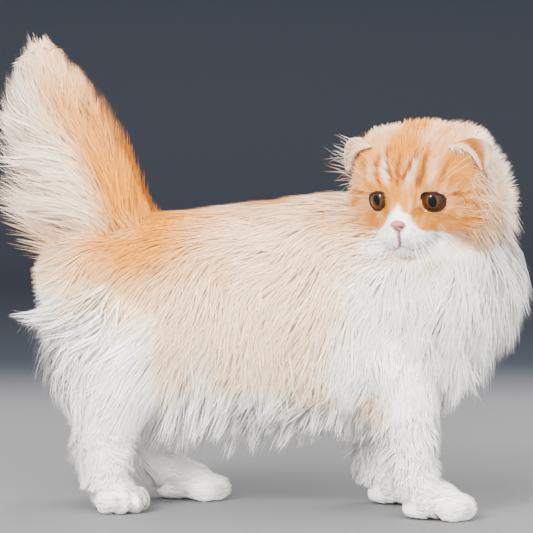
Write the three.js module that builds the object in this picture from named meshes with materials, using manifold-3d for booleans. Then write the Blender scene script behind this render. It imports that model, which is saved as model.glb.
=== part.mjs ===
// A long-haired cat with folded ears, standing, its tail raised and its head turned back over its
// right side. Millimetres. +X is the way the body faces, +Y its left side, +Z up, and the floor under
// the paws is z = 0.
import * as THREE from "three";
import { mergeVertices } from "three/addons/utils/BufferGeometryUtils.js";
import Module from "manifold-3d";

const wasm = await Module();
wasm.setup();

const GAP = 0.3;
const { degToRad, clamp, lerp } = THREE.MathUtils;

// The share of the coat's depth that a piece fills: short fur is all there, long fur is a core under locks.
const SHORT_FUR = 1;
const CORE = 0.5;

// Solids and surfaces

// A closed geometry as a solid, turned right side out.
function solidOf(geometry) {
  const bare = new THREE.BufferGeometry().setAttribute("position", geometry.getAttribute("position"));
  if (geometry.index) bare.setIndex(geometry.index);
  const merged = mergeVertices(bare, 1e-4);
  const vertProperties = new Float32Array(merged.attributes.position.array);
  const triVerts = new Uint32Array(merged.index.array);
  const made = new wasm.Manifold(new wasm.Mesh({ numProp: 3, vertProperties, triVerts }));
  if (made.volume() > 0) return made;
  return new wasm.Manifold(new wasm.Mesh({ numProp: 3, vertProperties, triVerts: triVerts.reverse() }));
}

// A solid as a three.js geometry, seen from the frame of a group.
function geometryOf(solid, group) {
  const { numProp, numVert, vertProperties, triVerts } = solid.getMesh();
  const positions = new Float32Array(numVert * 3);
  for (let i = 0; i < numVert; i++) {
    positions.set(vertProperties.subarray(i * numProp, i * numProp + 3), i * 3);
  }
  const geometry = new THREE.BufferGeometry();
  geometry.setAttribute("position", new THREE.BufferAttribute(positions, 3));
  geometry.setIndex(new THREE.BufferAttribute(triVerts, 1));
  group.updateMatrixWorld(true);
  geometry.applyMatrix4(group.matrixWorld.clone().invert());
  geometry.computeVertexNormals();
  return geometry;
}

const joined = (solids) => solids.reduce((sum, solid) => sum.add(solid));
const without = (solid, cutters) => cutters.reduce((left, cutter) => left.subtract(cutter), solid);

// The largest closed surface of a solid: it fills sealed hollows and drops loose scraps.
function largest(solid) {
  return solid.decompose().reduce((best, body) => (body.volume() > best.volume() ? body : best));
}

// A closed skin over rings of points, each end drawn together at its own tip.
function skinOver(rings, firstTip, lastTip) {
  const around = rings[0].length;
  const points = rings.flat();
  const first = points.push(firstTip) - 1;
  const last = points.push(lastTip) - 1;
  const end = (rings.length - 1) * around;
  const faces = [];
  for (let i = 0; i < around; i++) {
    const j = (i + 1) % around;
    for (let base = 0; base < end; base += around) {
      faces.push(base + i, base + j, base + around + j, base + i, base + around + j, base + around + i);
    }
    faces.push(first, j, i, last, end + i, end + j);
  }
  return new THREE.BufferGeometry().setFromPoints(points).setIndex(faces);
}

// A smooth run of numbers through a list of stations, u from 0 at the first to 1 at the last.
function between(stations, u) {
  const place = clamp(u, 0, 1) * (stations.length - 1);
  const k = Math.min(Math.floor(place), stations.length - 2);
  const t = place - k;
  const [a, b, c, d] = [k - 1, k, k + 1, k + 2].map((i) => stations[clamp(i, 0, stations.length - 1)]);
  return b.map(
    (_, i) =>
      b[i] +
      0.5 *
        t *
        (c[i] - a[i] + t * (2 * a[i] - 5 * b[i] + 4 * c[i] - d[i] + t * (3 * (b[i] - c[i]) - a[i] + d[i]))),
  );
}

// A round form along a spine. A station is [place, flesh, coat]: the spine's place, the flesh's half
// sizes beside, above and below it, and the coat's depth above, beside and below. over says which way
// above is, and caps gives the flesh and coat that dome over each end. outward is how far a lock below
// the form still faces away from it.
function formAlong({ stations, over, caps, outward = 0.25 }) {
  const rows = stations.map((station) => station.flat());
  const placeAt = (u) => new THREE.Vector3(...between(rows, u).slice(0, 3));

  function frameAt(u) {
    const along = placeAt(Math.min(u + 0.01, 1)).sub(placeAt(Math.max(u - 0.01, 0))).normalize();
    const level = new THREE.Vector3(...over);
    const above = level.clone().addScaledVector(along, -along.dot(level)).normalize();
    return { along, above, beside: new THREE.Vector3().crossVectors(above, along) };
  }

  // turn runs round the spine, from above (0) by the form's left side. u under 0 or over 1 is on a
  // domed end.
  function surface(u, turn, share, grow = 0) {
    const inside = clamp(u, 0, 1);
    const bend = (Math.abs(u - inside) * Math.PI) / 2;
    const [x, y, z, wide, high, low, coatOver, coatBeside, coatUnder] = between(rows, inside);
    const { along, above, beside } = frameAt(inside);
    const [up, side] = [Math.cos(turn), Math.sin(turn)];
    const reach = (coatBeside * side * side + (up > 0 ? coatOver : coatUnder) * up * up) * share + grow;
    const point = new THREE.Vector3(x, y, z);
    point.addScaledVector(beside, (wide + reach) * side * Math.cos(bend));
    point.addScaledVector(above, ((up > 0 ? high : low) + reach) * up * Math.cos(bend));
    if (u < 0) point.addScaledVector(along, -(caps[0][0] + caps[0][1] * share + grow) * Math.sin(bend));
    if (u > 1) point.addScaledVector(along, (caps[1][0] + caps[1][1] * share + grow) * Math.sin(bend));
    return point;
  }

  // The rings run out over both domes. A dome without a coat is inside another piece and has one ring.
  function solid(lengthwise, around, share, grow = 0) {
    const [firstDome, lastDome] = caps.map(([, coat]) => (coat ? [0.8, 0.55, 0.28] : [0.6]));
    const places = firstDome.map((d) => -d);
    for (let i = 0; i <= lengthwise; i++) places.push(i / lengthwise);
    places.push(...lastDome.toReversed().map((d) => 1 + d));
    const turns = Array.from({ length: around }, (_, i) => (i / around) * 2 * Math.PI);
    const rings = places.map((u) => turns.map((turn) => surface(u, turn, share, grow)));
    return solidOf(skinOver(rings, surface(-1, 0, share, grow), surface(2, 0, share, grow)));
  }
  // Which way a lock's flat side faces. Below the form it turns more to the side of the lock's root.
  function facing(u, turn, rootTurn) {
    const inside = clamp(u, 0, 1);
    const bend = ((u - inside) * Math.PI) / 2;
    const { along, above, beside } = frameAt(inside);
    const up = Math.cos(turn);
    const side = Math.sin(turn);
    const rootSide = Math.sin(rootTurn) < -1e-6 ? -1 : 1;
    const across = up < 0 ? rootSide * Math.max(Math.abs(side), 0.5) : side;
    const round = beside.multiplyScalar(across).addScaledVector(above, up < 0 ? up * outward : up);
    return round.multiplyScalar(Math.cos(bend)).addScaledVector(along, Math.sin(bend));
  }

  // u at a distance in millimetres along the form, from the first station: under 0 it is on the first
  // end's dome.
  const spine = new THREE.CatmullRomCurve3(stations.map(([place]) => new THREE.Vector3(...place)));
  const length = spine.getLength();
  const domeLengths = [-1, 2].map((pole, i) => {
    const rim = surface(i, Math.PI / 2, 1);
    return 1.1 * rim.distanceTo(surface(pole, 0, 1));
  });
  function uAt(distance) {
    if (distance < 0) return distance / domeLengths[0];
    if (distance > length) return 1 + (distance - length) / domeLengths[1];
    return distance / length;
  }
  return { surface, solid, facing, uAt, length };
}

// Locks: flat blades of hair, each rooted under its form's surface, bent along the lie and drawn to a point

const random = (() => {
  let state = 20261;
  return () => {
    state = (state * 1664525 + 1013904223) % 4294967296;
    return state / 4294967296;
  };
})();
const vary = (amount) => 1 + amount * (2 * random() - 1);

const RING_PLACES = [0, 0.38, 0.74, 1];
const RING_WIDTHS = [0.75, 1, 0.6];
const RING_RIDGES = [0.9, 1, 0.6];
const RISE = 0.85;
// How much further the thin edges of a blade move out than its faces when it grows.
const EDGE_GROWTH = 8;

// A blade along four points, three-sided, with its ridge on the side that each facing points to. Half
// of each ring's direction and facing is the whole blade's, so that neighbouring rings never cross.
function blade({ path, facings, width, ridge }, grow) {
  const run = path[3].clone().sub(path[0]).normalize();
  const side = facings.reduce((sum, facing) => sum.add(facing), new THREE.Vector3()).normalize();
  const rings = RING_WIDTHS.map((share, i) => {
    const along = path[i + 1].clone().sub(path[Math.max(i - 1, 0)]).normalize().add(run).normalize();
    const toward = facings[i].clone().normalize().add(side);
    const across = new THREE.Vector3().crossVectors(toward, along).normalize();
    const outward = new THREE.Vector3().crossVectors(along, across);
    const half = (width * share) / 2 + EDGE_GROWTH * grow;
    const height = ridge * RING_RIDGES[i];
    const corner = (sideways, out) =>
      path[i].clone().addScaledVector(across, sideways).addScaledVector(outward, out);
    const edge = -0.3 * height - grow;
    return [corner(-half, edge), corner(0, 0.7 * height + grow), corner(half, edge)];
  });
  const start = path[0].clone().lerp(path[1], -0.05);
  const tip = path[3].clone().addScaledVector(path[3].clone().sub(path[2]).normalize(), 2 * grow);
  return solidOf(skinOver(rings, start, tip));
}

// A lock on a form: from its root it runs by so many millimetres along and round the form, while it
// rises from one share of the coat's depth to another.
function lockOn(form, { root, turn, along, round, radius, from, to, width, ridge, sway }) {
  const turned = (t) => turn + (round * t + sway * Math.sin(Math.PI * t)) / radius;
  const place = (t) => [form.uAt(root + along * t), turned(t)];
  return {
    path: RING_PLACES.map((t) => form.surface(...place(t), lerp(from, to, t ** RISE))),
    facings: RING_PLACES.map((t) => form.facing(...place(t), turn)),
    width,
    ridge,
  };
}

// Rows of locks over a form, every other row set over by half a step. columns are [first, last, count]
// in millimetres along the form, and rows the same in degrees of turn. lie gives each lock's run, width
// and reach.
function locksOver(form, { columns, rows, lie, ridge = 3.6, unless = () => false }) {
  const locks = [];
  const [firstRow, lastRow, rowCount] = rows;
  const [firstColumn, lastColumn, columnCount] = columns;
  for (let r = 0; r < rowCount; r++) {
    for (let c = 0; c < columnCount; c++) {
      const column = c + (r % 2 ? 0.5 : 0) + 0.3 * (random() - 0.5);
      const root = lerp(firstColumn, lastColumn, column / (columnCount - 0.5));
      const row = r + 0.3 * (random() - 0.5);
      const degrees = lerp(firstRow, lastRow, row / Math.max(rowCount - 1, 1));
      const { along, round, radius, width, from = 0.3, to = 1 } = lie(root, degrees);
      const size = vary(0.15);
      const lock = {
        root,
        turn: degToRad(degrees),
        along: along * size,
        round: round * size,
        radius,
        from,
        to: lerp(from, to, vary(0.06)),
        width: width * vary(0.15),
        ridge,
        sway: 5 * (random() - 0.5),
      };
      if (!unless(root, degrees)) locks.push(lockOn(form, lock));
    }
  }
  return locks;
}

const blades = (locks, grow = 0) => locks.map((lock) => blade(lock, grow));

// A form grown from blobs: ellipsoids that melt into each other. surface(direction) is the place where
// the form ends, seen from its heart. A blob is [centre, radii, coat].
function formOfBlobs({ heart, blobs, melt }) {
  const middle = new THREE.Vector3(...heart);

  function outside(point, share) {
    let sum = 0;
    for (const [at, radii, coat] of blobs) {
      const thin = coat * (share - 1);
      const scaled = [0, 1, 2].map((i) => (point.getComponent(i) - at[i]) / (radii[i] + thin));
      const length = Math.hypot(...scaled);
      const slope = Math.hypot(...scaled.map((s, i) => s / (radii[i] + thin)));
      const distance = slope > 0 ? (length * (length - 1)) / slope : -radii[0];
      sum += Math.exp(-distance / melt);
    }
    return -melt * Math.log(sum);
  }

  function surface(direction, share, grow = 0) {
    let [near, far] = [0, 140];
    const ray = (r) => direction.clone().normalize().multiplyScalar(r).add(middle);
    for (let i = 0; i < 24; i++) {
      const r = (near + far) / 2;
      if (outside(ray(r), share) > grow) far = r;
      else near = r;
    }
    return ray(near);
  }
  return { surface, middle };
}

// Head: its own frame has +X out of the nose, +Y to its left ear and +Z up from the crown

const HEAD_AT = [121, -20, 239.5];
const HEAD_TURN = -105;
const HEAD_NOD = 12;
const EYE_RADIUS = 10.8;
const EYE_AT = [28.4, 19.4, 1];
const EYE_TURN = 17;
const EYE_LIFT = 3;
const NOSE_AT = [54, 0, -13];

const headGroup = new THREE.Group();
headGroup.rotation.set(0, degToRad(HEAD_NOD), degToRad(HEAD_TURN), "ZYX");
headGroup.position.set(...HEAD_AT);
headGroup.updateMatrixWorld(true);
const toBody = (point) => point.applyMatrix4(headGroup.matrixWorld);
const mirrored = ([x, y, z], side) => [x, y * side, z];

const headForm = formOfBlobs({
  heart: [4, 0, -7],
  melt: 4,
  blobs: [
    [[-4, 0, 9], [45, 52, 43], 6],
    [[-2, 34, 26], [24, 21, 24], 6],
    [[-2, -34, 26], [24, 21, 24], 6],
    [[-20, 38, -12], [17, 17, 36], 7],
    [[-20, -38, -12], [17, 17, 36], 7],
    [[12, 0, 2], [29, 42, 30], 3],
    [[3, 31, -16], [31, 27, 27], 10],
    [[3, -31, -16], [31, 27, 27], 10],
    [[34, 0, -17], [18, 17, 13], 2],
    [[42, 8.5, -21], [11.5, 10.5, 9.5], 2],
    [[42, -8.5, -21], [11.5, 10.5, 9.5], 2],
    [[38, 0, -5], [14.5, 8, 9], 1.5],
    [[37, 0, -34], [11, 11, 8], 3],
    [[8, 0, -30], [28, 30, 18], 9],
  ],
});

// The head's surface in rings that widen from the muzzle to the back of the skull.
function headSolid(ringCount, around, grow) {
  const direction = (back, turn) =>
    new THREE.Vector3(Math.cos(back), Math.sin(back) * Math.sin(turn), Math.sin(back) * Math.cos(turn));
  const rings = [];
  for (let r = 1; r < ringCount; r++) {
    const back = Math.PI * (r / ringCount) ** 1.25;
    rings.push(
      Array.from({ length: around }, (_, i) =>
        toBody(headForm.surface(direction(back, (2 * Math.PI * i) / around), SHORT_FUR, grow)),
      ),
    );
  }
  const tips = [0, Math.PI].map((back) => toBody(headForm.surface(direction(back, 0), SHORT_FUR, grow)));
  return solidOf(skinOver(rings, ...tips));
}

const ball = (radius, at) => new THREE.IcosahedronGeometry(radius, 2).translate(...at);

// Which way an eye looks, as a turn of its own frame.
function eyeTurn(side) {
  return new THREE.Matrix4().makeRotationFromEuler(
    new THREE.Euler(0, degToRad(-EYE_LIFT), degToRad(EYE_TURN) * side, "ZYX"),
  );
}

function eyeBall(side, grow) {
  return solidOf(ball(EYE_RADIUS + grow, mirrored(EYE_AT, side)).applyMatrix4(headGroup.matrixWorld));
}

// The opening between an eye's lids, an almond with a flat, sloping top.
function lidOpening(side) {
  const halfWide = 9.2;
  const [high, low] = [6.3, 8.2];
  const outline = new THREE.Shape();
  const points = 18;
  for (let i = 0; i < points; i++) {
    const turn = (2 * Math.PI * i) / points;
    const across = halfWide * Math.cos(turn);
    const up = Math.sin(turn) > 0 ? high * Math.sin(turn) ** 0.8 : low * Math.sin(turn);
    const y = across * side;
    const z = up - across * 0.12;
    if (i) outline.lineTo(y, z);
    else outline.moveTo(y, z);
  }
  const opening = new THREE.ExtrudeGeometry(outline, { depth: 20, bevelEnabled: false });
  opening.applyMatrix4(new THREE.Matrix4().makeBasis(
    new THREE.Vector3(0, 1, 0),
    new THREE.Vector3(0, 0, 1),
    new THREE.Vector3(1, 0, 0),
  ));
  opening.translate(3, 0, 0);
  opening.applyMatrix4(eyeTurn(side)).translate(...mirrored(EYE_AT, side));
  return solidOf(opening.applyMatrix4(headGroup.matrixWorld));
}

// The mouth is a groove: down from the nose, then out under each whisker pad.
function mouthGroove() {
  const depth = 1.1;
  const groove = (route) => {
    const sunk = (direction) => headForm.surface(new THREE.Vector3(...direction), SHORT_FUR, -depth * 0.35);
    const curve = new THREE.CatmullRomCurve3(route.map(sunk));
    const section = new THREE.Shape().absarc(0, 0, depth, 0, 2 * Math.PI);
    const options = { steps: 5, curveSegments: 2, bevelEnabled: false, extrudePath: curve };
    return new THREE.ExtrudeGeometry(section, options);
  };
  const middle = [44, 0, -21.5];
  const routes = [
    [[50, 0, -10], [48, 0, -15], middle, [42, 0, -23.5]],
    ...[-1, 1].map((side) => [middle, [42, 5 * side, -23.5], [36, 11 * side, -24.5], [27, 17 * side, -23]]),
  ];
  return routes.map((route) => solidOf(groove(route).applyMatrix4(headGroup.matrixWorld)));
}

// The nose leather: a rounded triangle that swells forward, with a nostril bored in each side.
function noseSolid(grow) {
  const [wide, high, deep] = [6.4 + grow, 4.6 + grow, 5 + grow];
  const form = new THREE.SphereGeometry(1, 9, 6);
  const places = form.getAttribute("position");
  for (let i = 0; i < places.count; i++) {
    const [x, y, z] = [places.getX(i), places.getY(i), places.getZ(i)];
    const narrow = z < 0 ? 1 + 0.55 * z : 1;
    places.setXYZ(i, x * deep + z * 1.2, y * wide * narrow, z * high);
  }
  let nose = solidOf(form.translate(...NOSE_AT).applyMatrix4(headGroup.matrixWorld));
  if (grow) return nose;
  for (const side of [-1, 1]) {
    const nostril = new THREE.SphereGeometry(1, 7, 4).scale(2.4, 1.6, 1.0);
    nostril.rotateX(degToRad(-28) * side).translate(NOSE_AT[0] + 4.2, 3.7 * side, NOSE_AT[2] - 0.6);
    nose = nose.subtract(solidOf(nostril.applyMatrix4(headGroup.matrixWorld)));
  }
  return nose;
}

// A folded ear: a flap that rises from an arc on the skull, folds, and lies forward with its tip over
// the temple.
function earSolid(side, grow) {
  const front = [26, 29, 34];
  const crest = [6, 37, 37];
  const rear = [-3, 52, 14];
  const tip = [20, 48, 12];
  const thick = 2.6;
  const [acrossSteps, outSteps] = [7, 5];
  const root = new THREE.QuadraticBezierCurve3(
    new THREE.Vector3(...front),
    new THREE.Vector3(...crest),
    new THREE.Vector3(...rear),
  );
  const height = (out) => between([[-5], [4.5], [6], [5.5], [4.5], [3.6]], out)[0];
  const place = (across, out, depth) => {
    const toTip = out * (0.96 - 0.08 * (2 * across - 1) ** 2);
    const direction = root.getPoint(across).lerp(new THREE.Vector3(...tip), toTip);
    const towards = direction.clone().sub(headForm.middle).normalize();
    const low = 1 - 0.3 * (2 * across - 1) ** 2;
    const point = headForm.surface(towards, SHORT_FUR).addScaledVector(towards, height(out) * low - depth);
    return toBody(point.setY(point.y * side));
  };
  const rings = [];
  for (let o = 0; o <= outSteps; o++) {
    const out = o / outSteps;
    const ring = [];
    for (let a = 0; a <= acrossSteps; a++) ring.push(place(a / acrossSteps, out, -grow));
    for (let a = acrossSteps; a >= 0; a--) ring.push(place(a / acrossSteps, out, thick + grow));
    rings.push(ring);
  }
  const sumOf = (ring) => ring.reduce((sum, p) => sum.add(p), new THREE.Vector3());
  const middleOf = (ring) => sumOf(ring).divideScalar(ring.length);
  return solidOf(skinOver(rings, middleOf(rings[0]), middleOf(rings.at(-1))));
}

// Trunk, neck and tail

const trunk = formAlong({
  over: [0, 0, 1],
  caps: [[18, 34], [22, 38]],
  stations: [
    [[-124, 0, 172], [30, 34, 34], [9, 22, 34]],
    [[-100, 0, 168], [43, 46, 54], [9, 20, 44]],
    [[-62, 0, 164], [48, 53, 62], [9, 18, 50]],
    [[-20, 0, 162], [50, 58, 66], [11, 18, 46]],
    [[22, 0, 160], [49, 64, 70], [12, 18, 38]],
    [[64, 0, 160], [46, 67, 74], [12, 18, 32]],
    [[102, -1, 158], [42, 58, 68], [13, 22, 30]],
    [[132, -2, 154], [34, 44, 48], [20, 26, 30]],
  ],
});

const neck = formAlong({
  outward: 0.5,
  over: [-0.9, 0.3, 0.4],
  caps: [[8, 0], [8, 0]],
  stations: [
    [[98, -2, 160], [38, 36, 40], [12, 24, 48]],
    [[107, -5, 178], [40, 38, 42], [14, 28, 52]],
    [[116, -8, 196], [38, 36, 40], [14, 22, 54]],
    [[125, -11, 214], [34, 32, 36], [8, 14, 52]],
    [[134, -14, 232], [28, 26, 28], [4, 10, 46]],
  ],
});

const tail = formAlong({
  over: [1, 0, 0.4],
  caps: [[6, 6], [3, 6]],
  stations: [
    [[-96, 0, 186], [12, 12, 12], [14, 20, 20]],
    [[-108, 0, 212], [10, 11, 11], [10, 24, 46]],
    [[-124, 1, 244], [8, 8, 8], [12, 28, 62]],
    [[-141, 2, 276], [7, 7, 7], [15, 30, 62]],
    [[-157, 3, 304], [6, 6, 6], [16, 28, 52]],
    [[-168, 4, 326], [5, 5, 5], [12, 20, 34]],
    [[-174, 5, 344], [3, 3, 3], [9, 14, 18]],
  ],
});

// Legs

const foreLeg = (side, forward) =>
  formAlong({
    over: [1, 0, 0],
    caps: [[10, 0], [8, 0]],
    stations: [
      [[102 + forward, 31 * side, 148], [15, 20, 22], [6, 9, 12]],
      [[107 + forward, 36 * side, 124], [17, 21, 23], [8, 12, 18]],
      [[112 + forward, 38 * side, 98], [15, 19, 19], [5, 7, 13]],
      [[115 + forward, 38 * side, 66], [13, 15, 15], [5, 6, 12]],
      [[117 + forward, 38 * side, 40], [12, 13, 13], [5, 6, 9]],
      [[121 + forward, 38 * side, 20], [12, 13, 14], [4, 5, 5]],
    ],
  });

const hindLegRight = formAlong({
  over: [1, 0, 0],
  caps: [[10, 0], [8, 0]],
  stations: [
    [[-86, -32, 170], [17, 32, 32], [6, 11, 36]],
    [[-86, -37, 146], [20, 38, 36], [8, 13, 52]],
    [[-92, -38, 118], [18, 34, 30], [8, 13, 57]],
    [[-107, -38, 86], [14, 22, 20], [8, 10, 40]],
    [[-114, -36, 62], [12, 17, 16], [7, 8, 10]],
    [[-116, -36, 42], [12, 15, 14], [6, 7, 8]],
    [[-113, -36, 20], [11, 13, 13], [4, 4, 5]],
  ],
});

const hindLegLeft = formAlong({
  over: [1, 0, 0],
  caps: [[10, 0], [8, 0]],
  stations: [
    [[-82, 32, 168], [17, 32, 32], [6, 11, 36]],
    [[-80, 37, 144], [20, 38, 36], [8, 13, 50]],
    [[-86, 38, 114], [18, 32, 30], [8, 13, 54]],
    [[-102, 38, 82], [14, 20, 20], [8, 10, 36]],
    [[-114, 36, 56], [12, 13, 13], [6, 7, 8]],
    [[-103, 36, 35], [11, 12, 11], [5, 6, 5]],
    [[-84, 36, 21], [11, 11, 10], [4, 4, 4]],
  ],
});

// A paw: the foot, four toes and the heel, flat under. Its own frame has +X out of the toes.
function pawSolid(at, heading, long, grow) {
  const toe = (x, y, size) => [[x * long, y, 8.5], [10.5 * size, 6.6 * size, 9.5 * size], 2];
  const form = formOfBlobs({
    heart: [0, 0, 10],
    melt: 1.6,
    blobs: [
      [[-4, 0, 14], [20, 15.5, 14], 3],
      [[-12, 0, 18], [15, 15, 16], 3],
      toe(17, 5.6, 1),
      toe(17, -5.6, 1),
      toe(10, 15, 0.92),
      toe(10, -15, 0.92),
      [[-14 * long, 0, 7], [14, 13, 9], 2],
    ],
  });
  const ringCount = 9;
  const around = 13;
  const direction = (back, turn) =>
    new THREE.Vector3(Math.cos(back), Math.sin(back) * Math.sin(turn), Math.sin(back) * Math.cos(turn));
  const place = (back, turn) => form.surface(direction(back, turn), SHORT_FUR, grow);
  const rings = [];
  for (let r = 1; r < ringCount; r++) {
    const back = (Math.PI * r) / ringCount;
    rings.push(Array.from({ length: around }, (_, i) => place(back, (2 * Math.PI * i) / around)));
  }
  const geometry = skinOver(rings, place(0, 0), place(Math.PI, 0));
  geometry.rotateZ(degToRad(heading)).translate(at[0], at[1], 0);
  return solidOf(geometry);
}

// The coat's locks: they lie to the rear on the back, down and back on the flanks, and hang under the belly

const LOCK = { back: 64, flank: 68, belly: 16, ruff: 58, thigh: 50, arm: 32, plume: 54 };

function trunkLocks() {
  // Over the back and down the flanks. No lock is rooted where the ruff or a leg covers the trunk.
  const lying = (root, degrees) => {
    const low = clamp((Math.abs(degrees) - 20) / 60, 0, 1);
    const under = clamp((Math.abs(degrees) - 80) / 30, 0, 1);
    const down = Math.sign(degrees) * low * LOCK.flank * (1 - 0.4 * under);
    return { along: -lerp(LOCK.back, LOCK.flank * 0.4, low), round: down, radius: 62, width: 46 };
  };
  const covered = (root, degrees) => {
    const side = Math.abs(degrees);
    const ruffed = root > 222;
    const onArm = root > 185 && side > 95;
    const onThigh = (root < 58 && side > 100) || (root < 45 && root > -12 && side > 60);
    return ruffed || onArm || onThigh;
  };
  const hanging = () => ({ along: -LOCK.belly, round: 0, radius: 62, width: 22, from: 0.2, to: 1.18 });
  const overLeg = (root, degrees) => {
    const overFore = root > 204 && root < 262;
    return Math.abs(degrees - 180) > 15 ? root < 46 || overFore : root < 90 || root > 190;
  };
  const falling = (root, degrees) => ({ along: -8, round: 34 * Math.sign(degrees), radius: 50, width: 26 });
  return [
    ...locksOver(trunk, { columns: [-40, 250, 8], rows: [-108, 108, 6], lie: lying, unless: covered }),
    ...locksOver(trunk, { columns: [10, 292, 10], rows: [156, 204, 3], lie: hanging, unless: overLeg }),
    ...[-1, 1].flatMap((side) =>
      locksOver(trunk, { columns: [292, 318, 1], rows: [75 * side, 150 * side, 3], lie: falling }),
    ),
    ...[-1, 1].flatMap((side) =>
      locksOver(trunk, { columns: [-52, -40, 1], rows: [75 * side, 140 * side, 2], lie: falling }),
    ),
  ];
}

function ruffLocks() {
  const lie = (root, degrees) => {
    const throat = clamp((Math.abs(degrees) - 50) / 90, 0, 1);
    const along = -LOCK.ruff * lerp(0.8, 1, throat);
    return { along, round: 0, radius: 60, width: 28, from: 0.35, to: 1.02 };
  };
  return locksOver(neck, { columns: [32, 78, 2], rows: [-180, 140, 9], lie });
}

function armLocks(form, side) {
  const lie = () => ({ along: LOCK.arm, round: 8 * side, radius: 24, width: 22 });
  return locksOver(form, { columns: [12, 42, 2], rows: [60 * side, 165 * side, 3], lie, ridge: 3 });
}

function thighLocks(form, side) {
  const lie = (root, degrees) => {
    const rear = clamp((Math.abs(degrees) - 90) / 80, 0, 1);
    const along = LOCK.thigh * lerp(0.85, 0.5, rear);
    return { along, round: 22 * side * (1 - rear), radius: 40, width: 29 };
  };
  return locksOver(form, { columns: [6, 76, 3], rows: [45 * side, 180 * side, 4], lie });
}

// The plume, in three sets, one for each length of the tail.
function plumeLocks() {
  const lie = () => ({ along: LOCK.plume, round: 0, radius: 30, width: 25, from: 0.35 });
  const spans = [
    [20, 46, 2],
    [68, 94, 2],
    [112, 130, 1],
  ];
  return spans.map((columns) => locksOver(tail, { columns, rows: [-180, 108, 5], lie }));
}

// The hair behind each cheek, in two rows, swept out, back and down from the face.
function cheekLocks(side) {
  const locks = [];
  const count = 5;
  for (const rowBack of [93, 118]) {
    for (let i = 0; i < count; i++) {
      const turn = degToRad(lerp(58, 158, i / (count - 1)));
      const back = degToRad(rowBack + 8 * (2 * random() - 1));
      const away = (share) => back + share * degToRad(18);
      const radial = new THREE.Vector3(0, Math.sin(turn) * side, Math.cos(turn));
      const direction = (t) => radial.clone().multiplyScalar(Math.sin(away(t))).setX(Math.cos(away(t)));
      const toward = (t) => direction(t).applyQuaternion(headGroup.quaternion);
      const sunk = (t) => headForm.surface(direction(t), SHORT_FUR, lerp(-5, 12, t));
      locks.push({
        path: RING_PLACES.map((t) => toBody(sunk(t).setZ(sunk(t).z - 14 * t * t))),
        facings: RING_PLACES.map(toward),
        width: 20 * vary(0.15),
        ridge: 3,
      });
    }
  }
  return locks;
}

// Cutting planes, as thick boxes under or over a height

const WORLD = 900;
const below = (z) => solidOf(new THREE.BoxGeometry(WORLD, WORLD, WORLD).translate(0, 0, z - WORLD / 2));
const above = (z) => solidOf(new THREE.BoxGeometry(WORLD, WORLD, WORLD).translate(0, 0, z + WORLD / 2));

// Cuts a tilted slab out of a form, and gives the pieces before it and after it along the normal.
function parted(solid, at, normal, gap) {
  const upright = new THREE.Vector3(0, 0, 1);
  const turn = new THREE.Quaternion().setFromUnitVectors(upright, new THREE.Vector3(...normal).normalize());
  const slab = (shift) => {
    const box = new THREE.BoxGeometry(WORLD, WORLD, WORLD).translate(0, 0, shift);
    return solidOf(box.applyQuaternion(turn).translate(...at));
  };
  const half = (WORLD - gap) / 2;
  return [largest(solid.subtract(slab(half))), largest(solid.subtract(slab(-half)))];
}

// The pieces

const material = (color, roughness = 0.9) =>
  new THREE.MeshStandardMaterial({ color, roughness, metalness: 0 });
const CREAM = material("#ead2bb");
const WHITE = material("#ece9e4");
const GINGER = material("#dba46c");
const IRIS = material("#6b4322", 0.15);
const PINK = material("#c98585", 0.55);

const cat = new THREE.Group();
cat.add(headGroup);

function addNode(name, solid, finish, group = cat) {
  const mesh = new THREE.Mesh(geometryOf(largest(solid), group), finish);
  mesh.name = name;
  group.add(mesh);
}

const SIDES = { left: 1, right: -1 };
const sides = Object.entries(SIDES);

// A part under long fur, or beside it: its core, the core grown by the gap to cut its neighbours,
// and its locks.
const furred = (core, locks) => ({ core: core(0), cutter: core(GAP), locks });

// Cuts one part clear of others. Those before it keep their shape. It keeps its own core against
// the locks of those after it, which are cut where they would lie in it.
function fitted({ core, locks }, { before = [], after = [] }) {
  const body = without(core, before.map((part) => part.cutter));
  const hair = blades(locks);
  if (!hair.length) return without(body, before.flatMap((part) => blades(part.locks, GAP)));
  const around = [
    ...before.flatMap((part) => [part.cutter, ...blades(part.locks, GAP)]),
    ...after.map((part) => part.cutter.subtract(core)),
  ];
  return body.add(without(joined(hair), around));
}

const headPart = furred((grow) => headSolid(22, 29, grow), sides.flatMap(([, side]) => cheekLocks(side)));
const earParts = sides.map(([, side]) => furred((grow) => earSolid(side, grow), []));
const neckPart = furred((grow) => neck.solid(5, 14, CORE, grow), ruffLocks());
const trunkPart = furred((grow) => trunk.solid(10, 14, CORE, grow), trunkLocks());

// Each leg: its form, its upper part's locks, its paw, and the height at which it is divided.
const legs = [
  ["fore", "right", foreLeg(-1, 0), armLocks, [[134, -38], 0, 1], 94],
  ["fore", "left", foreLeg(1, -36), armLocks, [[98, 38], 0, 1], 94],
  ["hind", "right", hindLegRight, thighLocks, [[-108, -37], -50, 1], 66],
  ["hind", "left", hindLegLeft, thighLocks, [[-65, 37], 0, 1.1], 62],
];
const PAW_TOP = 25;
const [LEG_RINGS, LEG_SIDES] = [7, 9];
const upperParts = legs.map(([, name, form, locks, , joint]) =>
  furred(
    (grow) => form.solid(LEG_RINGS, LEG_SIDES, CORE, grow).subtract(below(joint + GAP / 2 - grow)),
    locks(form, SIDES[name]),
  ),
);
const lowerParts = legs.map(([, , form, , , joint]) => {
  const shaft = (grow) => form.solid(LEG_RINGS, LEG_SIDES, SHORT_FUR, grow);
  return furred((grow) => shaft(grow).subtract(above(joint - GAP / 2 + grow)), []);
});

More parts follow.
